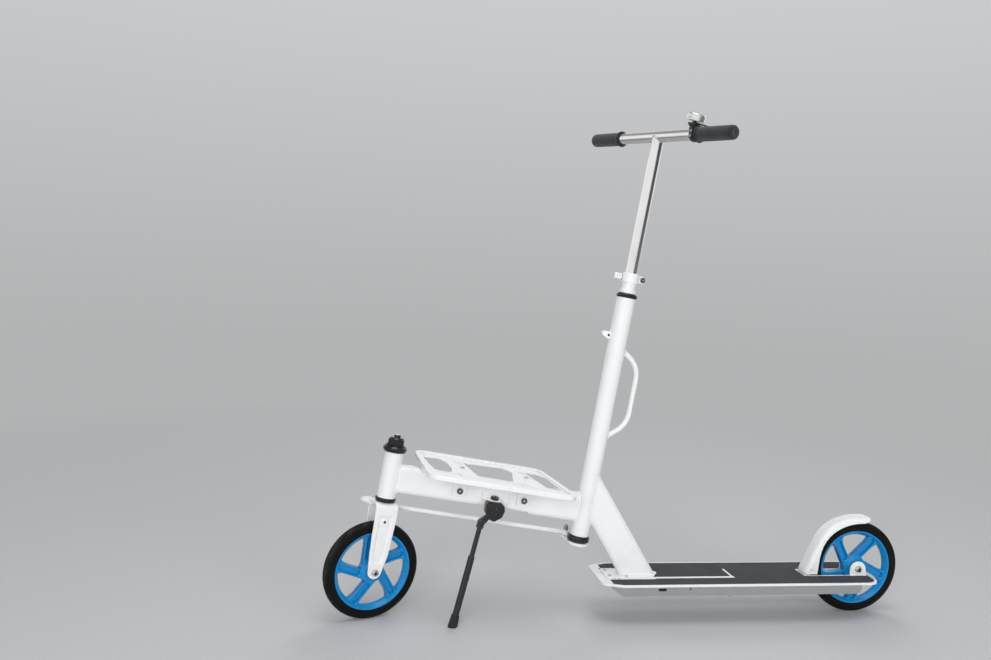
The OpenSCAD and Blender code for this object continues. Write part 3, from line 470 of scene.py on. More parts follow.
def dress(piece, node, replaces=True):
    """Rides the piece on its node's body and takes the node's place."""
    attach(piece, BODY_OF[node])
    if replaces:
        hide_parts(node)


def trim(piece, node):
    """An extra piece that rides with its node, which stays, in the slot of its own finish."""
    dress(piece, node, False)


def softened(node, width, segments, angle, slot=None):
    """A copy of a CAD node with merged faces and rounded edges, which takes the node's place."""
    shape = bmesh.new()
    shape.from_mesh(frame["nodes"][node].data)
    bmesh.ops.remove_doubles(shape, verts=shape.verts, dist=4e-6)
    bmesh.ops.dissolve_limit(shape, angle_limit=math.radians(1.0), verts=shape.verts, edges=shape.edges)
    mesh = bpy.data.meshes.new(node + "_soft")
    shape.to_mesh(mesh)
    shape.free()
    mesh.materials.append(MATERIALS[slot or SLOT_OF[node]])
    piece = linked(node + "_soft", mesh)
    round_edges(piece, width, segments, angle)
    dress(piece, node)


def moved(out, up, profile):
    """A profile with every radius and height moved by the same amount."""
    return [(out + r, up + z) for r, z in profile]


def both_sides(side):
    """A profile and its mirror image in the wheel's middle plane."""
    return side + [(r, -z) for r, z in side[::-1]]


def lathe(shape, profile, steps=96, place=None, closed=True):
    """Turns a profile of (radius, height) points about the z axis, then moves it to its place."""
    rings = []
    for k in range(steps):
        turn = 2 * math.pi * k / steps
        rings.append([shape.verts.new((r * math.cos(turn), r * math.sin(turn), z)) for r, z in profile])
    for k in range(steps):
        here, there = rings[k], rings[(k + 1) % steps]
        for i in range(len(profile) if closed else len(profile) - 1):
            j = (i + 1) % len(profile)
            if profile[i][0] > 1e-6 or profile[j][0] > 1e-6:
                shape.faces.new([here[i], here[j], there[j], there[i]])
    if place is not None:
        bmesh.ops.transform(shape, matrix=place, verts=[vertex for ring in rings for vertex in ring])


def turned(name, profile, place, slot="frame_paint", steps=96, angle=38.0):
    """A piece turned from one closed profile."""
    return new_piece(name, lambda shape: lathe(shape, profile, steps), place, slot, angle)


def skin(shape, rings):
    """Faces from ring to ring of vertices, and ladders of faces that close the two ends."""
    size = len(rings[0])
    for here, there in zip(rings, rings[1:]):
        for k in range(size):
            shape.faces.new((here[k], here[(k + 1) % size], there[(k + 1) % size], there[k]))
    for ring in (rings[0], rings[-1]):
        for k in range(size // 2 - 1):
            shape.faces.new((ring[k], ring[k + 1], ring[size - 2 - k], ring[size - 1 - k]))


def rounded_loop(points, radii, steps=7):
    """The points of a closed outline with each corner rounded by its own radius."""
    if not isinstance(radii, (list, tuple)):
        radii = [radii] * len(points)
    loop = []
    for i, corner in enumerate(points):
        corner = Vector(corner)
        back = Vector(points[i - 1]) - corner
        ahead = Vector(points[(i + 1) % len(points)]) - corner
        half = back.angle(ahead) / 2
        cut = min(radii[i] / max(math.tan(half), 1e-4), 0.49 * back.length, 0.49 * ahead.length)
        radius = cut * math.tan(half)
        if radius < 0.05:
            loop.append(tuple(corner))
            continue
        middle = corner + (back.normalized() + ahead.normalized()).normalized() * (radius / math.sin(half))
        first = corner + back.normalized() * cut - middle
        last = corner + ahead.normalized() * cut - middle
        sweep = first.angle_signed(last) if first.length and last.length else 0
        for k in range(steps + 1):
            turn = -sweep * k / steps
            loop.append((
                middle.x + first.x * math.cos(turn) - first.y * math.sin(turn),
                middle.y + first.x * math.sin(turn) + first.y * math.cos(turn),
            ))
    return loop


def path_curve(name, loops, closed):
    """A curve object with one poly spline per loop of points."""
    curve = bpy.data.curves.new(name, "CURVE")
    curve.dimensions = "3D"
    for loop in loops:
        spline = curve.splines.new("POLY")
        spline.points.add(len(loop) - 1)
        for point, place in zip(spline.points, loop):
            point.co = (*place, 1)
        spline.use_cyclic_u = closed
    return linked(name, curve)


def cut_plate(name, outlines, low, high, place, slot="frame_paint", bevel=0.8, steps=3):
    """A plate cut from closed outlines, the first its edge and the rest its holes, with rounded rims."""
    holder = path_curve(name, [[(x, y, 0) for x, y in outline] for outline in outlines], True)
    curve = holder.data
    curve.dimensions = "2D"
    curve.fill_mode = "BOTH"
    curve.extrude = (high - low) / 2 - bevel
    curve.bevel_depth = bevel
    curve.bevel_resolution = steps
    curve.offset = -bevel
    mesh = evaluated(holder)
    bpy.data.objects.remove(holder)

    def plate(shape):
        shape.from_mesh(mesh)
        bmesh.ops.remove_doubles(shape, verts=shape.verts, dist=0.003)
        bmesh.ops.translate(shape, vec=(0, 0, (low + high) / 2), verts=shape.verts)

    return new_piece(name, plate, place, slot, 50)


def joined(name, pieces):
    """One piece from several that ride on the same body."""
    with bpy.context.temp_override(active_object=pieces[0], selected_editable_objects=pieces):
        bpy.ops.object.join()
    pieces[0].name = name
    pieces[0].data.name = name
    return pieces[0]


def on_wheel(outline, turns):
    """Copies of an outline turned about the hub."""
    return [
        [(x * math.cos(a) - y * math.sin(a), x * math.sin(a) + y * math.cos(a)) for x, y in outline]
        for a in turns
    ]


def arc(radius, first, last, steps=10):
    """Points on an arc about the origin, angles in degrees."""
    return [
        (radius * math.cos(math.radians(first + (last - first) * k / steps)),
         radius * math.sin(math.radians(first + (last - first) * k / steps)))
        for k in range(steps + 1)
    ]


def circle(radius, count, middle=(0, 0)):
    """A closed outline of count points."""
    return [(middle[0] + x, middle[1] + y) for x, y in arc(radius, 0, 360 - 360 / count, count - 1)]


def arcs(corners, steps):
    """One outline from arcs, each given by its middle, radius, first and last angle."""
    return [(x + p, y + q) for (x, y), r, first, last in corners for p, q in arc(r, first, last, steps)]


# ---------- geometry node trees ----------


class Tree(Graph):
    """A geometry node group with named inputs that ends in Realize Instances and Set Material."""

    def __init__(self, name, inputs):
        self.tree = bpy.data.node_groups.new(name, "GeometryNodeTree")
        self.tree.interface.new_socket("Geometry", in_out="INPUT", socket_type="NodeSocketGeometry")
        self.tree.interface.new_socket("Geometry", in_out="OUTPUT", socket_type="NodeSocketGeometry")
        self.sockets = {}
        for label, kind, value in inputs:
            socket = self.tree.interface.new_socket(label, in_out="INPUT", socket_type=kind)
            socket.default_value = value
            self.sockets[label] = socket.identifier
        self.entry = self.tree.nodes.new("NodeGroupInput")
        self.exit = self.tree.nodes.new("NodeGroupOutput")

    def asked(self, label):
        return self.entry.outputs[label]

    def close(self, geometry, material):
        real = self.node("GeometryNodeRealizeInstances", {"Geometry": geometry})
        smooth = self.node("GeometryNodeSetShadeSmooth", {"Geometry": real})
        coat = self.node("GeometryNodeSetMaterial", {"Geometry": smooth, "Material": material})
        self.tree.links.new(coat.outputs[0], self.exit.inputs[0])
        return self

    def grow(self, holder, values):
        """Runs the tree on an object and leaves a plain mesh object in its place."""
        modifier = holder.modifiers.new("grow", "NODES")
        modifier.node_group = self.tree
        for label, value in values.items():
            modifier[self.sockets[label]] = value
        mesh = evaluated(holder)
        name = holder.name
        bpy.data.objects.remove(holder)
        mesh.name = name
        return linked(name, mesh)


def weld_tree(material):
    """Overlapping flattened drops along a path, as a torch lays them."""
    tree = Tree("weld_bead", [
        ("Bead Radius", "NodeSocketFloat", 0.0024), ("Ripple Pitch", "NodeSocketFloat", 0.0022),
        ("Seed", "NodeSocketInt", 7),
    ])
    spaced = tree.node("GeometryNodeResampleCurve", {
        "Curve": tree.entry, "Length": tree.asked("Ripple Pitch"),
    }, mode="LENGTH")
    points = tree.node("GeometryNodeCurveToPoints", {"Curve": spaced}, mode="EVALUATED")
    drop = tree.node("GeometryNodeMeshIcoSphere", {"Radius": tree.asked("Bead Radius"), "Subdivisions": 2})
    uneven = tree.node("FunctionNodeRandomValue", {
        "Seed": tree.asked("Seed"), "Min": (0.80, 0.80, 0.60), "Max": (1.12, 1.05, 0.85),
    }, data_type="FLOAT_VECTOR")
    beads = tree.node("GeometryNodeInstanceOnPoints", {
        "Points": points.outputs["Points"], "Instance": drop.outputs["Mesh"],
        "Rotation": points.outputs["Rotation"], "Scale": uneven.outputs["Value"],
    })
    return tree.close(beads, material)


def spoke_tree(material):
    """Turns one spoke's mesh into a full set round the hub's z axis."""
    tree = Tree("spoke_ring", [("Count", "NodeSocketInt", 5)])
    row = tree.node("GeometryNodeMeshLine", {"Count": tree.asked("Count"), "Offset": (0, 0, 0)})
    index = tree.node("GeometryNodeInputIndex")
    step = tree.node("ShaderNodeMath", {0: 2 * math.pi, 1: tree.asked("Count")}, operation="DIVIDE")
    turn = tree.node("ShaderNodeMath", {0: index, 1: step}, operation="MULTIPLY")
    spin = tree.node("ShaderNodeCombineXYZ", {"Z": turn})
    ring = tree.node("GeometryNodeInstanceOnPoints", {
        "Points": row, "Instance": tree.entry, "Rotation": spin,
    })
    return tree.close(ring, material)


def set_out_tree(material):
    """Sets one fitting on every point, turned by the point's own attribute."""
    tree = Tree("set_out", [("Fitting", "NodeSocketObject", None)])
    fitting = tree.node("GeometryNodeObjectInfo", {"Object": tree.asked("Fitting")})
    turn = tree.node("GeometryNodeInputNamedAttribute", {"Name": "turn"}, data_type="FLOAT_VECTOR")
    placed = tree.node("GeometryNodeInstanceOnPoints", {
        "Points": tree.entry, "Instance": fitting.outputs["Geometry"], "Rotation": turn.outputs["Attribute"],
    })
    return tree.close(placed, material)


def repeated(name, profile, places, frame_place, slot, steps=32):
    """A turned fitting, given by its profile, set out at each place and made one mesh."""
    one = turned(name + "_one", profile, Matrix.Scale(MM, 4), slot, steps, 34)
    spots = [frame_place @ place @ Matrix.Scale(1 / MM, 4) for place in places]
    mesh = bpy.data.meshes.new(name)
    mesh.from_pydata([tuple(spot.translation) for spot in spots], [], [])
    turn = mesh.attributes.new("turn", "FLOAT_VECTOR", "POINT")
    for value, spot in zip(turn.data, spots):
        value.vector = spot.to_euler("XYZ")
    piece = set_out_tree(MATERIALS[slot]).grow(linked(name, mesh), {"Fitting": one})
    bpy.data.objects.remove(one)
    return piece


# ---------- operators ----------


class DressOperator:
    """What all dressing operators share."""

    bl_options = {"REGISTER", "UNDO"}

    def execute(self, context):
        if not MATERIALS:
            raise RuntimeError("make the finishes first")
        self.build(context.scene.scooter_sizes)
        return {"FINISHED"}


class SCOOTER_OT_finishes(bpy.types.Operator):
    """Make every finish the scooter uses from the panel's colours"""

    bl_idname = "scooter.finishes"
    bl_label = "Make finishes"
    bl_options = {"REGISTER", "UNDO"}

    def execute(self, context):
        make_materials(context.scene.scooter_colours)
        for node, slot in SLOT_OF.items():
            mesh = frame["nodes"][node].data
            mesh.materials.clear()
            mesh.materials.append(MATERIALS[slot])
        return {"FINISHED"}


class SCOOTER_OT_frame(DressOperator, bpy.types.Operator):
    """Soften the welded frame's tubes, beam, handle and hook"""

    bl_idname = "scooter.frame"
    bl_label = "Frame tubes"

    def build(self, sizes):
        for node, width, angle in (
                ("head_tube", 0.0006, 32), ("main_beam", 0.0008, 36), ("column_tube", 0.0008, 32),
                ("down_tube", 0.0008, 36), ("bag_hook", 0.0016, 30), ("rear_lugs", 0.0008, 32),
                ("deck_mount_plate", 0.0007, 32)):
            softened(node, width, 3, angle)
        softened("carry_handle", 0.0002, 1, 60)


class SCOOTER_OT_wheels(DressOperator, bpy.types.Operator):
    """Cast wheels whose channelled spokes pass the hub on one side, and their tyres"""

    bl_idname = "scooter.wheels"
    bl_label = "Wheels"

    def build(self, sizes):
        for rim, tyre, place, first in (("front_rim", "front_tyre", FRONT_WHEEL, 20.5),
                                        ("rear_rim", "rear_tyre", REAR_WHEEL, 44.3)):
            facing = place @ rotation(first, "Z")
            dress(self.casting(rim + "_cast", facing, sizes), rim)
            dress(self.tyre(tyre + "_moulded", place), tyre)

    def casting(self, name, place, sizes):
        count, rail = sizes.spokes, sizes.rail_width / MM
        step = 360.0 / count
        turn = math.radians(step)
        turns = [turn * k for k in range(count)]
        rim = RIM_R
        web = rim - 9.5
        aside, wide = 13.0, 9.3
        near, far, half = aside - wide, aside + wide, wide - rail
        reach = (far - near * math.cos(turn)) / math.sin(turn)
        corner = (reach * math.cos(turn) - near * math.sin(turn), far)
        flare = [(web - 14, far), (web - 5.5, far + 1.8), (web - 1.2, far + 4.6)]
        back = [(web + 0.3, near - 4.8), (web - 4.5, near - 1.8), (web - 13, near)]
        start = math.degrees(math.atan2(flare[-1][1], flare[-1][0]))
        stop = step + math.degrees(math.atan2(back[0][1], back[0][0]))
        swing = arc(web, start + 1.5, stop - 1.5, 20)
        other = on_wheel(back, [turn])[0]
        window = rounded_loop([corner] + flare + swing + other, [4.5, 30, 6, 3] + [0] * len(swing) + [3, 6, 30], 5)
        holes = on_wheel(window, turns) + [circle(12.0, 60)]
        core = cut_plate(name + "_core", [circle(rim - 5.0, 120)] + holes, -2.6, 2.6, place, "wheel_blue", 0.9)
        star = []
        for a in turns:
            arm = [on_wheel([corner], [-turn])[0][0]] + back[::-1] + [(web + 3.2, near - 6.4), (web + 2.2, far + 6.6)]
            star += on_wheel(arm + flare[::-1], [a])[0]
        star = rounded_loop(star, [4.5, 30, 6, 3, 0, 0, 3, 6, 30] * count, 5)
        share = len(star) // count
        inward = math.degrees(math.atan2(corner[1], corner[0]))
        outline = star[:share] + star[share:share + 6] + arc(17.0, inward, inward - step, 4)
        slot = [(x + 29.0, y + aside) for x, y in arc(half, 90, 270, 10)]
        slot += [(x + web - 5.5, y + aside) for x, y in arc(half, -90, 90, 10)]
        spoke = cut_plate(name + "_spokes", [outline, slot], -8.0, 8.0, FLOOR, "wheel_blue", 1.7, 4)
        spokes = spoke_tree(MATERIALS["wheel_blue"]).grow(spoke, {"Count": count})
        spokes.data.transform(place @ Matrix.Scale(1 / MM, 4))

        def barrel(shape):
            side = [(0, 11.1), (-0.4, 11.5), (-2.6, 11.5), (-3.4, 11.0), (-4.0, 10.0), (-8.2, 5.2), (-9.1, 3.9),
                    (-9.5, 2.4)]
            lathe(shape, both_sides(moved(rim, 0, side)), 144)
            hub = [(11.0, 11.6), (11.6, 12.0), (15.6, 12.0), (16.8, 11.3), (17.6, 9.9), (19.4, 9.0), (23.8, 8.4),
                   (24.8, 7.9), (24.8, 4.0)]
            lathe(shape, both_sides(hub), 96)

        return joined(name, [new_piece(name + "_barrel", barrel, place, "wheel_blue", 34), core, spokes])

    def tyre(self, name, place):
        side = moved(RIM_R, 0, [(0.1, 10.9), (1.0, 12.0), (2.2, 12.5), (4.4, 12.9), (5.2, 12.6), (6.0, 12.9),
                                (9.0, 12.7), (12.0, 12.1)])
        side += moved(WHEEL_R, 0, [(-5.0, 11.0), (-3.0, 9.7), (-1.6, 8.0), (-0.7, 5.9), (-0.2, 3.4), (0, 1.0),
                                   (-0.35, 0.45)])
        piece = turned(name, both_sides(side), place, "tyre_rubber", 160, 50)
        tread = piece.data.attributes.new("tread", "FLOAT", "POINT")
        inward = place.inverted()
        for vertex, value in zip(piece.data.vertices, tread.data):
            spot = inward @ vertex.co
            away = math.hypot(spot.x, spot.y)
            value.value = min(1.0, max(0.0, (away - WHEEL_R + 4.5) / 3.0))
        return piece


class SCOOTER_OT_fork(DressOperator, bpy.types.Operator):
    """Pressed fork: legs with a sunk panel, round shoulders and the steering arm"""

    bl_idname = "scooter.fork"
    bl_label = "Fork"

    FRONT_EDGE = ((1.5, -17.8), (34, -20.8), (75, -23.2), (100, -23.6), (122, -25.0), (138, -25.0), (150, -22.5))
    REAR_EDGE = ((1.5, 12.2), (35, 19.5), (76, 21.6), (110, 23.4), (138, 23.4), (150, 20.5))
    PANEL = ((-15, 116), (15.5, 116), (14.5, 75), (9.5, 30), (5, 18), (-10, 18), (-15.5, 40), (-15.5, 75))

    def build(self, sizes):
        blade = new_piece("fork_pressed", self.blade, FORK, "frame_paint", 40)
        arm = arcs(((LINK_PIN, 9.5, 0, 95), ((-26, 37), 9.5, 95, 200), ((-21, 14), 4, 200, 270),
                    ((17, 14), 4, 270, 360)), 10)
        plate = cut_plate("fork_arm", [arm, circle(3.0, 24, LINK_PIN)], ARM_S, ARM_S + 6, FORK, bevel=2.2, steps=5)
        ribs = [[self.pulled(p, 2.4) for p in arm], circle(7.8, 45, LINK_PIN)]
        rim = cut_plate("fork_arm_rib", ribs, ARM_S + 3, ARM_S + 8.6, FORK, bevel=1.9, steps=4)
        dress(joined("fork_pressed", [blade, plate, rim]), "fork_blades")

        # Black discs in the two leg holes: painted shade of the holes.
        def hole_shade_discs(shape):
            for side in (-1, 1):
                lathe(shape, [(0, -3.0), (2.3, -3.0), (2.3, -0.1), (2.0, 0.15), (0, 0.15)], 24,
                      outward(-1.0, 20.5, 103.0, side))

        trim(new_piece("fork_plugs", hole_shade_discs, FORK, "black_plastic"), "fork_blades")

    def pulled(self, point, inset):
        middle = Vector((-8.0, 28.0))
        out = Vector(point) - middle
        return tuple(middle + out * (1 - inset / out.length))

    def between(self, table, s):
        for (s0, x0), (s1, x1) in zip(table, table[1:]):
            if s <= s1:
                return x0 + (x1 - x0) * max(0.0, (s - s0) / (s1 - s0))
        return table[-1][1]

    def edges(self, s):
        if s < 1.5:
            half = math.sqrt(max(4.0, 225 - (s - 1.5) ** 2))
            return -2.8 - half, -2.8 + half
        return self.between(self.FRONT_EDGE, s), self.between(self.REAR_EDGE, s)

    def sunk(self, x, s):
        """How deep the pressed panel lies at a point of a leg, with a ring round the hole, whose black disc is painted
        shade.
        """
        inside = 1e9
        for (x0, s0), (x1, s1) in zip(self.PANEL, self.PANEL[1:] + self.PANEL[:1]):
            long = math.hypot(x1 - x0, s1 - s0)
            inside = min(inside, -((x1 - x0) * (s - s0) - (s1 - s0) * (x - x0)) / long)
        t = min(1.0, max(0.0, inside / 3.0))
        depth = 1.5 * t * t * (3 - 2 * t)
        ring = math.hypot(x + 1.0, s - 103.0)
        if ring < 8.5:
            lift = min(1.0, (8.5 - ring) / 2.0) if ring > 4.0 else max(0.0, (ring - 2.6) / 1.4)
            depth -= 1.3 * max(0.0, lift)
        return depth

    def blade(self, shape):
        outer, inner = 20.5, 16.5
        stations = []
        for s in [-13.4, -12.8, -11.6, -9.8, -7.4, -4.6, -1.6, 1.5] + [1.5 + 127.5 * k / 84 for k in range(1, 85)]:
            stations.append(((-outer, s), (-inner, min(s, 127.0)), (-1.0, 0.0)))
        for k in range(1, 13):
            a = math.radians(180 - 90 * k / 12)
            stations.append(((-8.5 + 12 * math.cos(a), 129 + 12 * math.sin(a)),
                             (-8.5 + 8 * math.cos(a), 127 + 8 * math.sin(a)), (math.cos(a), math.sin(a))))
        stations += [((-y0, s0), (-y1, s1), (-n, m)) for (y0, s0), (y1, s1), (n, m) in stations[::-1]]
        margins = (0.0, 0.15, 0.5, 1.05, 1.8)
        columns = 36
        rings = []
        for (y0, s0), (y1, s1), (n, m) in stations:
            low, high = self.edges(s0)
            spread = [low + t for t in margins]
            spread += [low + 1.8 + (high - low - 3.6) * k / columns for k in range(1, columns)]
            spread += [high - t for t in margins[::-1]]
            face, rear = [], []
            for x in spread:
                t = min(x - low, high - x, 1.8)
                drop = 1.8 - math.sqrt(max(0.0, 1.8 ** 2 - (1.8 - t) ** 2))
                depth = drop + (self.sunk(x, s0) if abs(m) < 0.01 else 0.0)
                face.append(shape.verts.new((x, y0 - n * depth, s0 - m * depth)))
                rear.append(shape.verts.new((x, y1 + n * drop * 0.6, s1 + m * drop * 0.6)))
            rings.append(face + rear[::-1])
        skin(shape, rings)


class SCOOTER_OT_rack(DressOperator, bpy.types.Operator):
    """Carrier tray: raised rail, turned-down edge, windows, strap slots and bolts"""

    bl_idname = "scooter.rack"
    bl_label = "Carrier tray"

    def build(self, sizes):
        top = RACK_TOP
        windows = [rounded_loop(w, 3.0, 5) for w in RACK_WINDOWS]
        slots = []
        for x, y, dx, dy, half in ((127.5, -62, 13, -23, 9), (138, 58, 1, 0.2, 4), (260, -66, 17, -17, 9),
                                   (276, 59, 1, 0.2, 4)):
            lean = math.degrees(math.atan2(dy, dx))
            long = math.hypot(dx, dy)
            ends = [((x - half * dx / long, y - half * dy / long), lean + 90),
                    ((x + half * dx / long, y + half * dy / long), lean - 90)]
            slots.append(arcs([(end, 2.4, a, a + 180) for end, a in ends], 8))
        parts = [
            cut_plate("rack_sheet", [self.outline(1.5)] + windows + slots, top - 2.7, top - 0.9, FRONT, bevel=0.5),
            cut_plate("rack_edge", [self.outline(0.0), self.outline(4.2)], top - 8.5, top + 1.6, FRONT, bevel=1.3,
                      steps=4),
            cut_plate("rack_rail", [self.outline(2.6), self.outline(11.5)], top - 2.4, top + 1.42, FRONT, bevel=1.1,
                      steps=4)]

        def bosses(shape):
            for a in RACK_BOLTS:
                lathe(shape, [(0, top - 4), (8.0, top - 4), (8.0, top - 0.4), (7.4, top), (0, top)], 40,
                      Matrix.Translation((a, 0, 0)))

        parts.append(new_piece("rack_bosses", bosses, FRONT))
        dress(joined("rack_tray", parts), "rack_plate")

        def seam(shape):
            low, high = ([shape.verts.new((221.0 - x, 0.32 - RACK_HALF - y, z)) for x, y in circle(0.42, 8)]
                         for z in (top - 7.4, top + 0.2))
            for k in range(8):
                shape.faces.new((low[k], low[(k + 1) % 8], high[(k + 1) % 8], high[k]))
            shape.faces.new(low[::-1])
            shape.faces.new(high)

        trim(new_piece("rack_seam", seam, FRONT, "black_plastic"), "rack_plate")
        self.bolts()

    def bolts(self):
        out = BEAM_W / 2 + 3.75
        washers, heads, caps = [], [], []
        for a in RACK_BOLTS:
            for side in (-1, 1):
                spot = outward(a, out, RACK_BOLT_S, side)
                washers.append(spot)
                heads.append(spot @ rotation(17 + a, "Z"))
            caps.append(Matrix.Translation((a, 0, RACK_TOP)))
        lathes = (
            ("rack_washers", washers, [(3, 0), (8.5, 0), (8.5, 1.0), (8.1, 1.4), (3, 1.4)], 40, "frame_paint"),
            ("rack_hex_heads", heads, [(0, 1.3), (6.6, 1.3), (6.6, 4.9), (5.7, 5.8), (4.1, 5.9), (3.6, 5.2),
                                       (3.3, 3.4), (0, 3.4)], 6, "dark_zinc"),
            ("rack_shank_ends", heads, [(0, 3.0), (2.5, 3.0), (2.5, 5.6), (2.0, 6.2), (0, 6.2)], 24, "polished_bar"),
            ("rack_button_heads", caps, [(0, -0.5), (4.4, -0.5), (4.4, 0.6), (3.6, 1.6), (2.3, 2.1), (2.0, 1.2),
                                         (0, 1.2)], 32, "zinc_steel"))
        for name, places, profile, steps, slot in lathes:
            piece = repeated(name, profile, places, FRONT, slot, steps)
            dress(piece, "rack_bolts", replaces=name == "rack_hex_heads")

    def outline(self, inset):
        half = RACK_HALF - inset
        first, last = RACK_ENDS[0] + inset, RACK_ENDS[1] - inset
        radius = 30.0 - inset
        near = 22.0 - inset
        return arcs((((last - radius - 26, half - radius), radius, 0, 90),
                     ((first + radius, half - radius), radius, 90, 180),
                     ((first + radius + 8, radius - half), radius, 180, 270),
                     ((last - near, near - half), near, 270, 360)), 12)


class SCOOTER_OT_fender(DressOperator, bpy.types.Operator):
    """One moulded fender with rounded shoulders, a short foot and its rivets"""

    bl_idname = "scooter.fender"
    bl_label = "Brake fender"

    def build(self, sizes):
        half = FENDER_HALF
        foot = DECK_TOP + 1.7 - REAR_HUB.z / MM
        stations = [((25.2, 109.6), (23.6, 105.2)), ((24.0, 111.2), (21.0, 103.2)), ((19.0, 112.2), (13.0, 99.6)),
                    ((10.0, 112.8), (3.0, 99.0))]
        for t in range(0, 51, 5):
            a = math.radians(t)
            stations.append(((-113 * math.sin(a), 113 * math.cos(a)), (-99 * math.sin(a), 99 * math.cos(a))))
        stations += [((-94.0, 56.5), (-84.5, 50.5)), ((-101.4, 39.0), (-89.6, 36.5)), ((-108.4, 23.0), (-90.6, 22.0)),
                     ((-115.3, 8.0), (-91.0, 7.5)), ((-120.6, foot + 8.3), (-91.8, foot + 7.3)),
                     ((-121.8, foot + 2.8), (-92.8, foot + 2.8)), ((-121.6, foot), (-93.2, foot))]
        for _ in range(3):
            stations[4:-2] = [
                tuple(tuple(0.25 * a + 0.5 * b + 0.25 * c for a, b, c in zip(p, q, r)) for p, q, r in zip(u, v, w))
                for u, v, w in zip(stations[3:-3], stations[4:-2], stations[5:-1])
            ]
        hub = (REAR_HUB.x / MM, REAR_HUB.z / MM)
        thick = 2.6

        def moulding(shape):
            rings = []
            for k, (crown, hem) in enumerate(stations):
                crown, hem = Vector(crown), Vector(hem)
                depth = (hem - crown).length
                down = (hem - crown).normalized()
                shoulder = min(10.5, depth * 0.92)
                reach = half * (0.93 if k == 0 else 1.0)
                outer = self.wall(reach, depth, shoulder, 0)
                inner = self.wall(reach - thick, depth, max(0.8, shoulder - thick), thick)
                section = [(-y, d) for y, d in outer] + outer[::-1] + inner + [(-y, d) for y, d in inner[::-1]]
                rings.append([
                    shape.verts.new((hub[0] + crown.x + down.x * d, y, hub[1] + crown.y + down.y * d))
                    for y, d in section
                ])
            skin(shape, rings)

        shell = new_piece("fender_shell", moulding, FLOOR, "fender_plastic", 48)
        round_edges(shell, 0.0006, 2, 40)
        places = []
        for x, z in ((-107.6, foot + 10.3), (-101.0, foot + 23.8)):
            for side in (-1, 1):
                places.append(outward(hub[0] + x, half, hub[1] + z, side))
        studs = repeated("fender_rivets", [(0, -1.0), (3.3, -1.0), (3.3, 0.25), (2.7, 0.6), (1.6, 0.75), (1.1, 0.3),
                                           (0, 0.2)], places, FLOOR, "fender_plastic", 24)
        shell = joined("fender_moulded", [shell, studs])
        dress(shell, "fender_brake")
        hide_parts("fender_sides")

    def wall(self, reach, depth, corner, skin_depth):
        """From one hem up round its shoulder to the crown, as (across, down) points."""
        return [(reach, depth)] + [
            (reach - corner + corner * math.sin(b), skin_depth + corner - corner * math.cos(b))
            for b in (math.pi / 2 * (8 - j) / 8 for j in range(9))
        ]


class SCOOTER_OT_handlebar(DressOperator, bpy.types.Operator):
    """Polished T-bar and foam grips with a flange"""

    bl_idname = "scooter.handlebar"
    bl_label = "Handlebar"

    def build(self, sizes):
        bar = BARS @ Matrix.Translation((0, 0, BAR_S))
        across = bar @ QUARTER_TURN
        half = GRIP_END - 5
        tube = [(BAR_R - 2, -half), (BAR_R - 0.3, -half), (BAR_R, -half + 0.3), (BAR_R, half - 0.3),
                (BAR_R - 0.3, half), (BAR_R - 2, half)]
        dress(turned("bar_drawn", tube, across, "polished_bar", angle=30), "handlebar_tube")
        low, high = STEM_LOW, BAR_S - 4
        stem = [(STEM_R - 2, low), (STEM_R - 0.4, low), (STEM_R, low + 0.4), (STEM_R, high), (0, high),
                (0, high - 18), (STEM_R - 2, high - 18)]
        dress(turned("stem_drawn", stem, BARS, "polished_bar", angle=30), "stem_tube")
        start, end = GRIP_END - GRIP_LEN, GRIP_END
        foam = [(BAR_R, start)]
        foam += moved(GRIP_R, start, [(1.4, 0), (2.3, 0.7), (2.6, 1.8), (2.2, 3.0), (0.9, 4.0), (-0.1, 5.4), (0, 9),
                                      (0.25, 30)])
        foam += moved(GRIP_R, end, [(0.1, -24), (0, -7), (-0.5, -3.6), (-1.8, -1.5), (-3.6, -0.6), (-6.5, -0.3)])
        foam += moved(0, end, [(4.0, -0.3), (3.2, -1.1), (0, -1.1), (0, -4.4), (BAR_R, -4.4)])
        for side, label in ((1, "right"), (-1, "left")):
            piece = turned("grip_" + label, foam, bar @ outward(0, 0, 0, side), "grip_foam", 72, 60)
            dress(piece, "grips", replaces=(side == 1))


class SCOOTER_OT_bell(DressOperator, bpy.types.Operator):
    """Flat-topped bell with a turned rim, its clamp, two screws and the lever"""

    bl_idname = "scooter.bell"
    bl_label = "Bell"

    def build(self, sizes):
        low = BAR_R + 16
        dome = moved(0, low, [
            (0, 15.4), (11.0, 15.3), (14.6, 14.8), (16.8, 13.6), (18.0, 11.4), (18.4, 8.2), (18.5, 3.2), (18.8, 2.6),
            (18.9, 0.9), (18.6, 0), (17.4, 0), (17.2, 6), (15.8, 10.4), (13.4, 12.8), (9.5, 13.8), (0, 13.8)])
        nut = moved(0, low, [(0, 14.8), (3.0, 14.8), (3.0, 15.8), (2.2, 16.2), (0, 16.2)])
        dress(turned("bell_spun", dome, BELL, "bell_chrome", angle=34), "bell_dome")
        trim(turned("bell_nut", nut, BELL, "zinc_steel", 32, 34), "bell_dome")
        softened("bell_base", 0.0008, 3, 32)
        softened("bell_lever", 0.0008, 3, 32)
        ring = BARS @ Matrix.Translation((0, -(GRIP_END - GRIP_LEN - 9), BAR_S))
        places = [rotation(a, "Y") @ Matrix.Translation((0, 0, BAR_R + 3.1))
                  for a in (-72, -112)]
        screw = [(0, -0.6), (2.3, -0.6), (2.3, 0.5), (1.6, 1.0), (0.6, 1.05), (0.5, 0.6), (0, 0.6)]
        trim(repeated("bell_screws", screw, places, ring, "zinc_steel", 20), "bell_base")


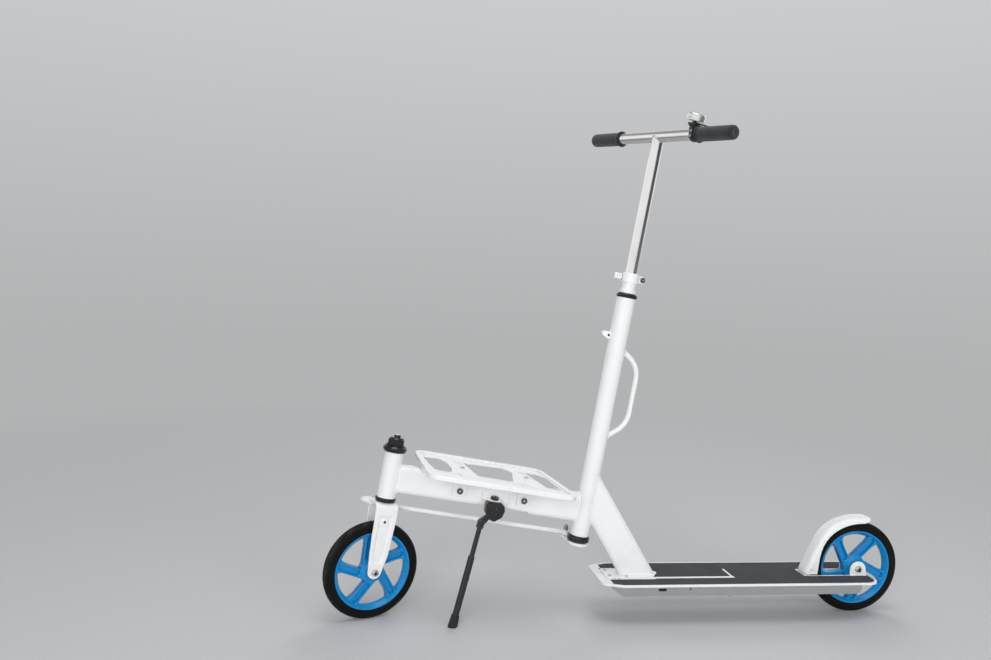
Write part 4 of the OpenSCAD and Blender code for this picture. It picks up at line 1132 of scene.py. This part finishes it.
class SCOOTER_OT_clamp(DressOperator, bpy.types.Operator):
    """Height clamp: band, cam lever, and the bolt with its black washer and pale end"""

    bl_idname = "scooter.clamp"
    bl_label = "Height clamp"

    def build(self, sizes):
        softened("clamp_band", 0.0008, 3, 32)
        softened("clamp_lever", 0.0012, 3, 32)
        softened("clamp_bolt", 0.0004, 2, 30)
        eye = BARS @ Matrix.Translation((25.0, -8.0, 614.5)) @ QUARTER_TURN
        washer = [(2.2, 0.0), (5.3, 0.0), (5.3, 1.2), (4.8, 3.7), (2.9, 3.9), (2.3, 3.4)]
        tip = [(0, 1.0), (2.3, 1.0), (2.3, 4.4), (1.8, 4.9), (0, 4.9)]
        here = [Matrix.Identity(4)]
        trim(repeated("clamp_washer", washer, here, eye, "black_plastic", 40), "clamp_bolt")
        trim(repeated("clamp_bolt_end", tip, here, eye, "bell_chrome", 32), "clamp_bolt")


class SCOOTER_OT_stand(DressOperator, bpy.types.Operator):
    """Side stand: bent bracket, housing with a raised face, nut, leg, sliding tube and foot"""

    bl_idname = "scooter.stand"
    bl_label = "Side stand"

    def build(self, sizes):
        for node in ("stand_housing", "stand_leg", "stand_tube", "stand_foot"):
            softened(node, 0.0008, 3, 34)
        shelf = [(-30, -BEAM_W / 2 + 0.3), (11, -BEAM_W / 2 + 0.3), (9, STAND_Y - 6.5), (-13, STAND_Y - 6.5),
                 (-27, STAND_Y + 4)]
        spots = [(x + STAND_X, y) for x, y in shelf]
        stem = circle(3.06, 24, (STAND_X - 4, STAND_Y))
        plate = cut_plate("stand_shelf", [rounded_loop(spots, [0, 0, 4, 4, 6], 4), stem], 181.0, 184.0, FRONT,
                          bevel=0.6)
        backing = [(x + STAND_X, z) for x, z in ((-28, 175), (28, 175), (28, 195), (-28, 195))]
        back = cut_plate("stand_backing", [rounded_loop(backing, 3.0, 4)], BEAM_W / 2 + 0.1, BEAM_W / 2 + 3.4,
                         FRONT @ QUARTER_TURN, bevel=0.6)
        dress(joined("stand_bracket_bent", [plate, back]), "stand_bracket")
        softened("stand_pin", 0.0004, 2, 30, slot="stand_black")
        softened("stand_button", 0.0003, 2, 30)
        face = STAND @ QUARTER_TURN
        out = -STAND_Y + 10.2
        outline = [(-20.5, 13), (-17, 19.5), (8, 19.5), (17, 13.5), (19.5, 4.5), (16, -9.5), (2, -20), (-8, -18),
                   (-19.8, -4)]
        raised = rounded_loop([(x * 0.74 - 0.2, z * 0.74 + 0.2) for x, z in outline], 3.0, 4)
        inner = rounded_loop([(x * 0.62 - 0.2, z * 0.62 + 0.2) for x, z in outline], 2.5, 4)
        rim = cut_plate("stand_face", [raised, inner], out - 1.0, out + 1.7, face, "stand_black", 0.7)
        trim(rim, "stand_housing")
        nut = [(0, -0.6), (8.6, -0.6), (8.6, 5.0), (7.4, 6.2), (3.4, 6.4), (3.1, 5.6), (0, 5.6)]
        ring = [(5.6, 1.2), (8.9, 1.2), (8.9, 2.0), (8.3, 2.5), (6.2, 2.5), (5.6, 2.0)]
        for name, profile, spot, base, steps, node in (
                ("stand_nut", nut, (-4, STAND_Y, 22.6), STAND, 6, "stand_pin"),
                ("stand_ring", ring, (0, 0, out - 0.4), face, 48, "stand_housing")):
            trim(repeated(name, profile, [Matrix.Translation(spot)], base, "stand_black", steps), node)


class SCOOTER_OT_fittings(DressOperator, bpy.types.Operator):
    """Small fittings: lower arm, axle bolts, headset cups, top nut, deck screws, and black pieces of painted shade
    behind the skirt holes and in the bag hook's gap
    """

    bl_idname = "scooter.fittings"
    bl_label = "Fittings"

    def build(self, sizes):
        for node in ("front_spacers", "rear_spacers", "front_link_pin", "rear_link_pin", "front_bearings",
                     "rear_bearings", "fender_pin", "fork_steerer", "fork_top_nut", "deck_screws"):
            softened(node, 0.0004, 2, 30)
        for node in ("rack_brackets", "steer_tube", "steer_collar", "link_rod"):
            softened(node, 0.0007, 2, 34)
        self.lower_arm()
        self.axles()
        self.cups()
        self.deck_bits()

    def lower_arm(self):
        """Steering arm under the column: a thick disc with a lug that tapers to the rod's pin."""
        profile = [(14.4, 51.0), (21.6, 51.0), (22.6, 51.5), (23.0, 52.6), (23.0, 55.6), (22.4, 56.6),
                   (21.0, 57.0), (14.4, 57.0)]
        lug = arcs(((LINK_PIN, 9.5, -8, 172), ((-12, 6), 8.5, 172, 262), ((10, 6), 8.5, 262, 352)), 14)
        disc = turned("lower_arm_disc", profile, BARS, angle=30)
        plate = cut_plate("lower_arm_lug", [lug, circle(3.0, 24, LINK_PIN)], 51.1, 56.9, BARS, bevel=1.3, steps=4)
        dress(joined("lower_arm_forged", [disc, plate]), "lower_arm")

    def axles(self):
        for node, place, half in (("front_axle", FRONT_WHEEL, 20.5), ("rear_axle", REAR_WHEEL, 23.5)):
            ends = [Matrix.Identity(4), HALF_TURN]
            head = moved(0, half, [
                (4.0, -0.5), (7.4, -0.5), (7.4, 1.0), (7.0, 1.4), (6.3, 1.5), (6.3, 4.2), (5.9, 5.2), (5.0, 5.8),
                (3.5, 5.9), (3.2, 5.3), (3.0, 2.2), (0, 2.2), (0, -0.5)])
            # A black hex at the bottom of each bolt head's socket: painted shade inside the recess.
            socket_shade_profile = moved(0, half, [(0, 2.0), (3.05, 2.0), (3.05, 3.0), (0, 3.0)])
            trim(repeated(node + "_heads", head, ends, place, "polished_bar", 48), node)
            trim(repeated(node + "_sockets", socket_shade_profile, ends, place, "stand_black", 6), node)
            shank = [(0, -half), (4.0, -half), (4.0, half), (0, half)]
            dress(turned(node + "_shank", shank, place, "zinc_steel", 40), node)

    def cups(self):
        for node, place, inner, rims in (
                ("head_cups", FRONT, 14.2, (
                    [(-0.2, 141.5), (0.9, 143.4), (1.4, 144.6), (1.4, 148.8), (0.9, 149.8)],
                    [(1.6, 243.1), (3.6, 245.6), (4.4, 248.0), (4.4, 251.4), (3.7, 252.4), (2.4, 253.2),
                     (1.0, 255.3)])),
                ("column_cups", COLUMN, 14.5, (
                    [(-0.3, 57.5), (2.6, 59.6), (3.5, 61.0), (3.5, 68.4), (2.8, 69.8), (1.2, 70.9)],
                    [(0.8, 573.1), (1.7, 574.8), (1.7, 579.6), (0.6, 580.9), (-0.6, 581.7)]))):
            def cup(shape):
                for rim in rims:
                    lathe(shape, [(inner, rim[0][1])] + moved(TUBE_R, 0, rim) + [(inner, rim[-1][1])], 96)

            dress(new_piece(node + "_turned", cup, place, "black_plastic", 28), node)

        tip = [(0, 276.6), (4.4, 276.6), (4.4, 277.3), (3.9, 277.7), (0, 277.7)]
        trim(turned("top_nut_tip", tip, FORK, "bell_chrome", 32), "fork_top_nut")

    def deck_bits(self):
        for node in ("deck_top_plate", "deck_skirt", "grip_tape"):
            softened(node, 0.0007, 2, 34)
        head = [(0, -1.0), (3.0, -1.0), (3.0, 0.3), (2.4, 0.9), (1.0, 1.1), (0.8, 0.5), (0, 0.5)]
        spots = ((-25.6, 29.1), (-16.1, 32.8), (-25.6, -29.1), (-16.1, -32.8))
        places = [Matrix.Translation((x, y, DECK_TOP)) for x, y in spots]
        trim(repeated("tape_screws", head, places, FLOOR, "zinc_steel", 24), "deck_top_plate")
        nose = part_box("deck_top_plate")[0].x / MM
        border = [(nose + 123, -30.5), (nose + 298.5, -30.5), (nose + 298.5, -22), (nose + 123, -22)]
        line = cut_plate("deck_border", [rounded_loop(border, 0.8, 3)], DECK_TOP - 1, DECK_TOP + 0.25, FLOOR, bevel=0.2)
        trim(line, "deck_top_plate")
        strip = [(nose + 17.5, 30), (nose + 126, 26), (nose + 126, 36), (nose + 16.5, 36)]
        patch = cut_plate("tape_edge", [rounded_loop(strip, 1.0, 3)], DECK_TOP - 0.6, DECK_TOP + 0.12, FLOOR,
                          "deck_grip", bevel=0.1)
        trim(patch, "grip_tape")
        # Thin black sheets just inside the skirt, behind its holes: painted shade, so the holes read dark.
        shade_sheet_offset = DECK_HALF - 5.4

        def hole_shade_sheets(shape):
            for side in (-1, 1):
                for x0, x1, z0, z1 in ((112, 136, -15, -5), (180, 188, -12, -6)):
                    y0, y1 = sorted((side * shade_sheet_offset, side * (shade_sheet_offset + 0.8)))
                    corners = [shape.verts.new((nose + x, y, DECK_TOP + z)) for y in (y0, y1)
                               for x, z in ((x0, z0), (x1, z0), (x1, z1), (x0, z1))]
                    for quad in ((0, 1, 2, 3), (4, 5, 6, 7), (0, 1, 5, 4), (1, 2, 6, 5), (2, 3, 7, 6), (3, 0, 4, 7)):
                        shape.faces.new([corners[k] for k in quad])

        trim(new_piece("skirt_liners", hole_shade_sheets, FLOOR, "black_plastic"), "deck_skirt")
        # A black rod in the gap between the bag hook and the column: painted shade of the gap.
        spot = COLUMN @ Matrix.Translation((-TUBE_R - 3.4, 0, 491)) @ QUARTER_TURN
        gap_shade_profile = [(0, -4.4), (2.5, -4.4), (2.5, 4.4), (0, 4.4)]
        trim(turned("hook_liner", gap_shade_profile, spot, "black_plastic", 24), "bag_hook")


class SCOOTER_OT_welds(DressOperator, bpy.types.Operator):
    """Weld beads where the tubes of the frame, the lugs and the handlebar meet"""

    bl_idname = "scooter.welds"
    bl_label = "Welds"

    def build(self, sizes):
        section = self.section(BEAM_H, BEAM_W, 11)
        thick = self.section(BEAM_H + 3, BEAM_W, 11)
        r = TUBE_R + 0.2
        beam = [[FRONT @ Vector((math.sqrt(r * r - y * y), y, BEAM_S + z)) for z, y in section]]
        rise = (COLUMN_AXIS - FRONT_AXIS).dot(UP) / MM
        beam.append([COLUMN @ Vector((-math.sqrt(r * r - y * y), y, BEAM_S - 1.5 - rise + z)) for z, y in thick])
        self.lay("weld_beam", beam, "main_beam", "frame_paint", sizes)
        self.lay("weld_down_tube", self.down_tube(r), "down_tube", "frame_paint", sizes, 0.8)
        self.lay("weld_handle", self.handle(r), "carry_handle", "frame_paint", sizes, 0.75)
        self.lay("weld_lugs", self.lugs(), "rear_lugs", "frame_paint", sizes, 0.8)
        tee = [BARS @ Vector((x, y, BAR_S - math.sqrt(max(0.0, (BAR_R + 0.1) ** 2 - x * x))))
               for x, y in circle(STEM_R, 60)]
        self.lay("weld_tee", [tee], "stem_tube", "polished_bar", sizes, 0.62)

    def down_tube(self, r):
        """Where the slanted tube meets the column, and where it stands on its foot plate."""
        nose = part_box("deck_top_plate")[0].x / MM
        middle = Vector((nose + 88 - 52.5, 0, DECK_TOP + 86.5))
        along = Vector((0.532, 0, -0.846))
        over = Vector((0.846, 0, 0.532))
        into = COLUMN.inverted()
        high, low = [], []
        for u, v in self.section(66, BEAM_W, 12):
            start = FLOOR @ (middle + over * u + Vector((0, v, 0)) - along * 190)
            reach = math.sqrt(r * r - v * v)
            a = (into @ start).x
            b = (into @ (start + along * MM)).x
            high.append(start + along * MM * ((reach - a) / (b - a)))
            drop = (DECK_TOP + 3.0 - start.z / MM) / along.z
            low.append(start + along * MM * drop)
        return [high, low]

    def handle(self, r):
        """Rings where the two ends of the carry handle meet the column."""
        rings = []
        reach, bend = 54.7, 52.0
        inner = reach - bend
        for s0, turn, sign in ((409.9, 56, 1), (339.4, 50, -1)):
            a = math.radians(turn)
            spot = Vector((inner + bend * math.cos(a), 0, s0 + sign * bend * math.sin(a)))
            along = Vector((-math.sin(a), 0, sign * math.cos(a)))
            side = Vector((0, 1, 0))
            over = along.cross(side)
            ring = []
            for k in range(36):
                b = 2 * math.pi * k / 36
                p = spot + 5.4 * (math.cos(b) * side + math.sin(b) * over)
                limit = math.sqrt(r * r - p.y * p.y)
                ring.append(COLUMN @ (p + along * ((limit - p.x) / along.x)))
            rings.append(ring)
        return rings

    def lugs(self):
        """Lines along the foot of each rear lug, on its outer face."""
        return [[Vector((REAR_HUB.x + x * MM, y * MM, (DECK_TOP + 0.2) * MM)) for x in (-17.5, 17.5)]
                for y in (-23.6, 23.6)]

    def section(self, height, width, corner):
        half_h, half_w = height / 2, width / 2
        loop = arcs([((cz * (half_h - corner), cy * (half_w - corner)), corner, start, start + 90)
                     for cz, cy, start in ((1, 1, 0), (-1, 1, 90), (-1, -1, 180), (1, -1, 270))], 10)
        dense = []
        for k, here in enumerate(loop):
            there = loop[(k + 1) % len(loop)]
            steps = max(1, int(math.dist(here, there) / 3))
            dense += [(here[0] + (there[0] - here[0]) * j / steps, here[1] + (there[1] - here[1]) * j / steps)
                      for j in range(steps)]
        return dense

    def lay(self, name, loops, node, slot, sizes, share=1.0):
        tree = weld_tree(MATERIALS[slot])
        holder = path_curve(name, loops, len(loops[0]) > 2)
        values = {"Bead Radius": sizes.weld_radius * share, "Ripple Pitch": sizes.weld_pitch * share, "Seed": 7}
        trim(tree.grow(holder, values), node)


class SCOOTER_OT_stage(bpy.types.Operator):
    """Set the floor, the backdrop, the soft lights and the camera"""

    bl_idname = "scooter.stage"
    bl_label = "Stage"
    bl_options = {"REGISTER", "UNDO"}

    def execute(self, context):
        if not MATERIALS:
            raise RuntimeError("make the finishes first")
        scene = context.scene
        tone = tuple(scene.scooter_colours.backdrop)
        self.bowl(tone)
        self.world(scene)
        for name, place, aim, size, power, warmth in (
                ("key", (-1.7, -3.8, 1.35), (0.0, 0.0, 0.35), 2.2, 86, (1.0, 0.99, 0.975)),
                ("fill", (1.9, -3.6, 1.1), (0.0, 0.0, 0.4), 2.2, 42, (0.97, 0.985, 1.0)),
                ("back", (1.2, 3.0, 3.2), (0.0, 0.0, 0.3), 2.2, 34, (1.0, 1.0, 1.0)),
                ("top", (-0.2, -0.8, 3.8), (0.0, 0.0, 0.0), 2.4, 36, (1.0, 1.0, 1.0))):
            light = bpy.data.lights.new(name, "AREA")
            light.shape = "DISK"
            light.size = size
            light.energy = power
            light.color = warmth
            lamp = linked(name, light)
            lamp.location = place
            lamp.rotation_euler = (Vector(aim) - Vector(place)).to_track_quat("-Z", "Y").to_euler()
            lamp.visible_glossy = name == "top"
        self.camera(scene)
        scene.view_settings.view_transform = "Standard"
        return {"FINISHED"}

    def bowl(self, tone):
        floor = Finish("floor_sweep", tone, 0.62, Specular_IOR_Level=0.12)
        floor.speckle((1.1, 5), 0.3, 0.75, 0.25, floor.shaded(0.94))
        floor.textured((160.0, 4), 0.03, 0.001)
        seen = floor.node("ShaderNodeLightPath")
        away = floor.node("ShaderNodeVectorMath", {0: floor.place}, operation="LENGTH").outputs["Value"]
        far = floor.remap(away, 1.0, 3.0)
        height = floor.node("ShaderNodeSeparateXYZ", {0: floor.place}).outputs["Z"]
        rise = floor.graded(floor.remap(height, 0.1, 3.4), (0.445, 0.452, 0.456, 1), (0.60, 0.61, 0.62, 1))
        glow = floor.node("ShaderNodeEmission", {"Color": rise, "Strength": 1.0})
        # Painted reflection: reflected rays that reach the far bowl see an emission that is bright towards one bearing,
        # dark elsewhere and darker low down, so polished metal shows painted bright and dark streaks.
        bearing = floor.node("ShaderNodeVectorMath", {0: floor.place, 1: (0.866, -0.5, 0.0)}, operation="DOT_PRODUCT")
        share = floor.math("DIVIDE", bearing.outputs["Value"], away)
        around = floor.graded(floor.remap(share, 0.70, 0.86), (1.05, 1.06, 1.08, 1), (0.09, 0.095, 0.10, 1))
        upward = floor.graded(floor.remap(height, 0.02, 0.7), (0.28, 0.285, 0.29, 1), around)
        painted_reflection = floor.node("ShaderNodeEmission", {"Color": upward, "Strength": 1.0})
        by_eye = floor.times(far, seen.outputs["Is Camera Ray"])
        bounced = floor.math("MAXIMUM", seen.outputs["Is Glossy Ray"], seen.outputs["Is Transmission Ray"])
        by_gloss = floor.times(floor.remap(away, 1.6, 3.4), bounced)
        first = floor.node("ShaderNodeMixShader", {0: by_eye, 1: floor.shader, 2: glow})
        last = floor.node("ShaderNodeMixShader", {0: by_gloss, 1: first, 2: painted_reflection})
        out = floor.tree.nodes["Material Output"]
        floor.tree.links.new(last.outputs[0], out.inputs["Surface"])
        MATERIALS["floor_sweep"] = floor.material

        profile = [(r, 0.0) for r in (0.0, 900.0, 2400.0, 4600.0)]
        profile += [(4600 + 2400 * math.sin(a), 2400 - 2400 * math.cos(a))
                    for a in (math.pi / 2 * k / 14 for k in range(1, 15))]
        profile += [(7000.0, 5200.0)]
        sheet = new_piece("floor_bowl", lambda shape: lathe(shape, profile, 96, closed=False), FLOOR, "floor_sweep", 60)
        if not any(face.normal.z > 0.5 for face in sheet.data.polygons):
            sheet.data.flip_normals()

    def world(self, scene):
        world = bpy.data.worlds.new("studio_air")
        world.use_nodes = True
        sky = world.node_tree.nodes["Background"]
        sky.inputs["Color"].default_value = (0.80, 0.82, 0.85, 1)
        sky.inputs["Strength"].default_value = 0.46
        scene.world = world

    def camera(self, scene):
        yaw, pitch, roll = 0.170, 0.069, 0.048
        ahead = Vector((math.sin(yaw) * math.cos(pitch), math.cos(yaw) * math.cos(pitch), -math.sin(pitch)))
        right = Vector((math.cos(yaw), -math.sin(yaw), 0))
        up = right.cross(ahead)
        across = math.cos(roll) * right + math.sin(roll) * up
        upward = -math.sin(roll) * right + math.cos(roll) * up
        lens = bpy.data.cameras.new("view")
        lens.lens = 33.95
        lens.sensor_width = 36
        lens.sensor_fit = "HORIZONTAL"
        lens.clip_end = 60
        camera = linked("view", lens)
        camera.matrix_world = Matrix((
            (across.x, upward.x, -ahead.x, -0.6130),
            (across.y, upward.y, -ahead.y, -1.8524),
            (across.z, upward.z, -ahead.z, 0.7206),
            (0, 0, 0, 1)))
        scene.camera = camera


class SCOOTER_PT_panel(bpy.types.Panel):
    """Sidebar panel that lists the dressing operators in their order"""

    bl_idname = "SCOOTER_PT_panel"
    bl_label = "Kick scooter"
    bl_space_type = "VIEW_3D"
    bl_region_type = "UI"
    bl_category = "Scooter"

    def draw(self, context):
        layout = self.layout
        for group in (context.scene.scooter_sizes, context.scene.scooter_colours):
            for key in group.bl_rna.properties.keys():
                if key not in ("rna_type", "name"):
                    layout.prop(group, key)
        for operator in OPERATORS:
            layout.operator(operator.bl_idname)


OPERATORS = (
    SCOOTER_OT_finishes, SCOOTER_OT_frame, SCOOTER_OT_welds, SCOOTER_OT_wheels, SCOOTER_OT_fork,
    SCOOTER_OT_rack, SCOOTER_OT_fender, SCOOTER_OT_handlebar, SCOOTER_OT_bell, SCOOTER_OT_clamp,
    SCOOTER_OT_stand, SCOOTER_OT_fittings, SCOOTER_OT_stage,
)
CLASSES = (ScooterSizes, ScooterColours, *OPERATORS, SCOOTER_PT_panel)


def register():
    for item in CLASSES:
        bpy.utils.register_class(item)
    bpy.types.Scene.scooter_sizes = bpy.props.PointerProperty(type=ScooterSizes)
    bpy.types.Scene.scooter_colours = bpy.props.PointerProperty(type=ScooterColours)


def unregister():
    del bpy.types.Scene.scooter_colours
    del bpy.types.Scene.scooter_sizes
    for item in reversed(CLASSES):
        bpy.utils.unregister_class(item)


def main():
    register()
    for operator in OPERATORS:
        group, call = operator.bl_idname.split(".")
        getattr(getattr(bpy.ops, group), call)()


if __name__ == "__main__":
    main()
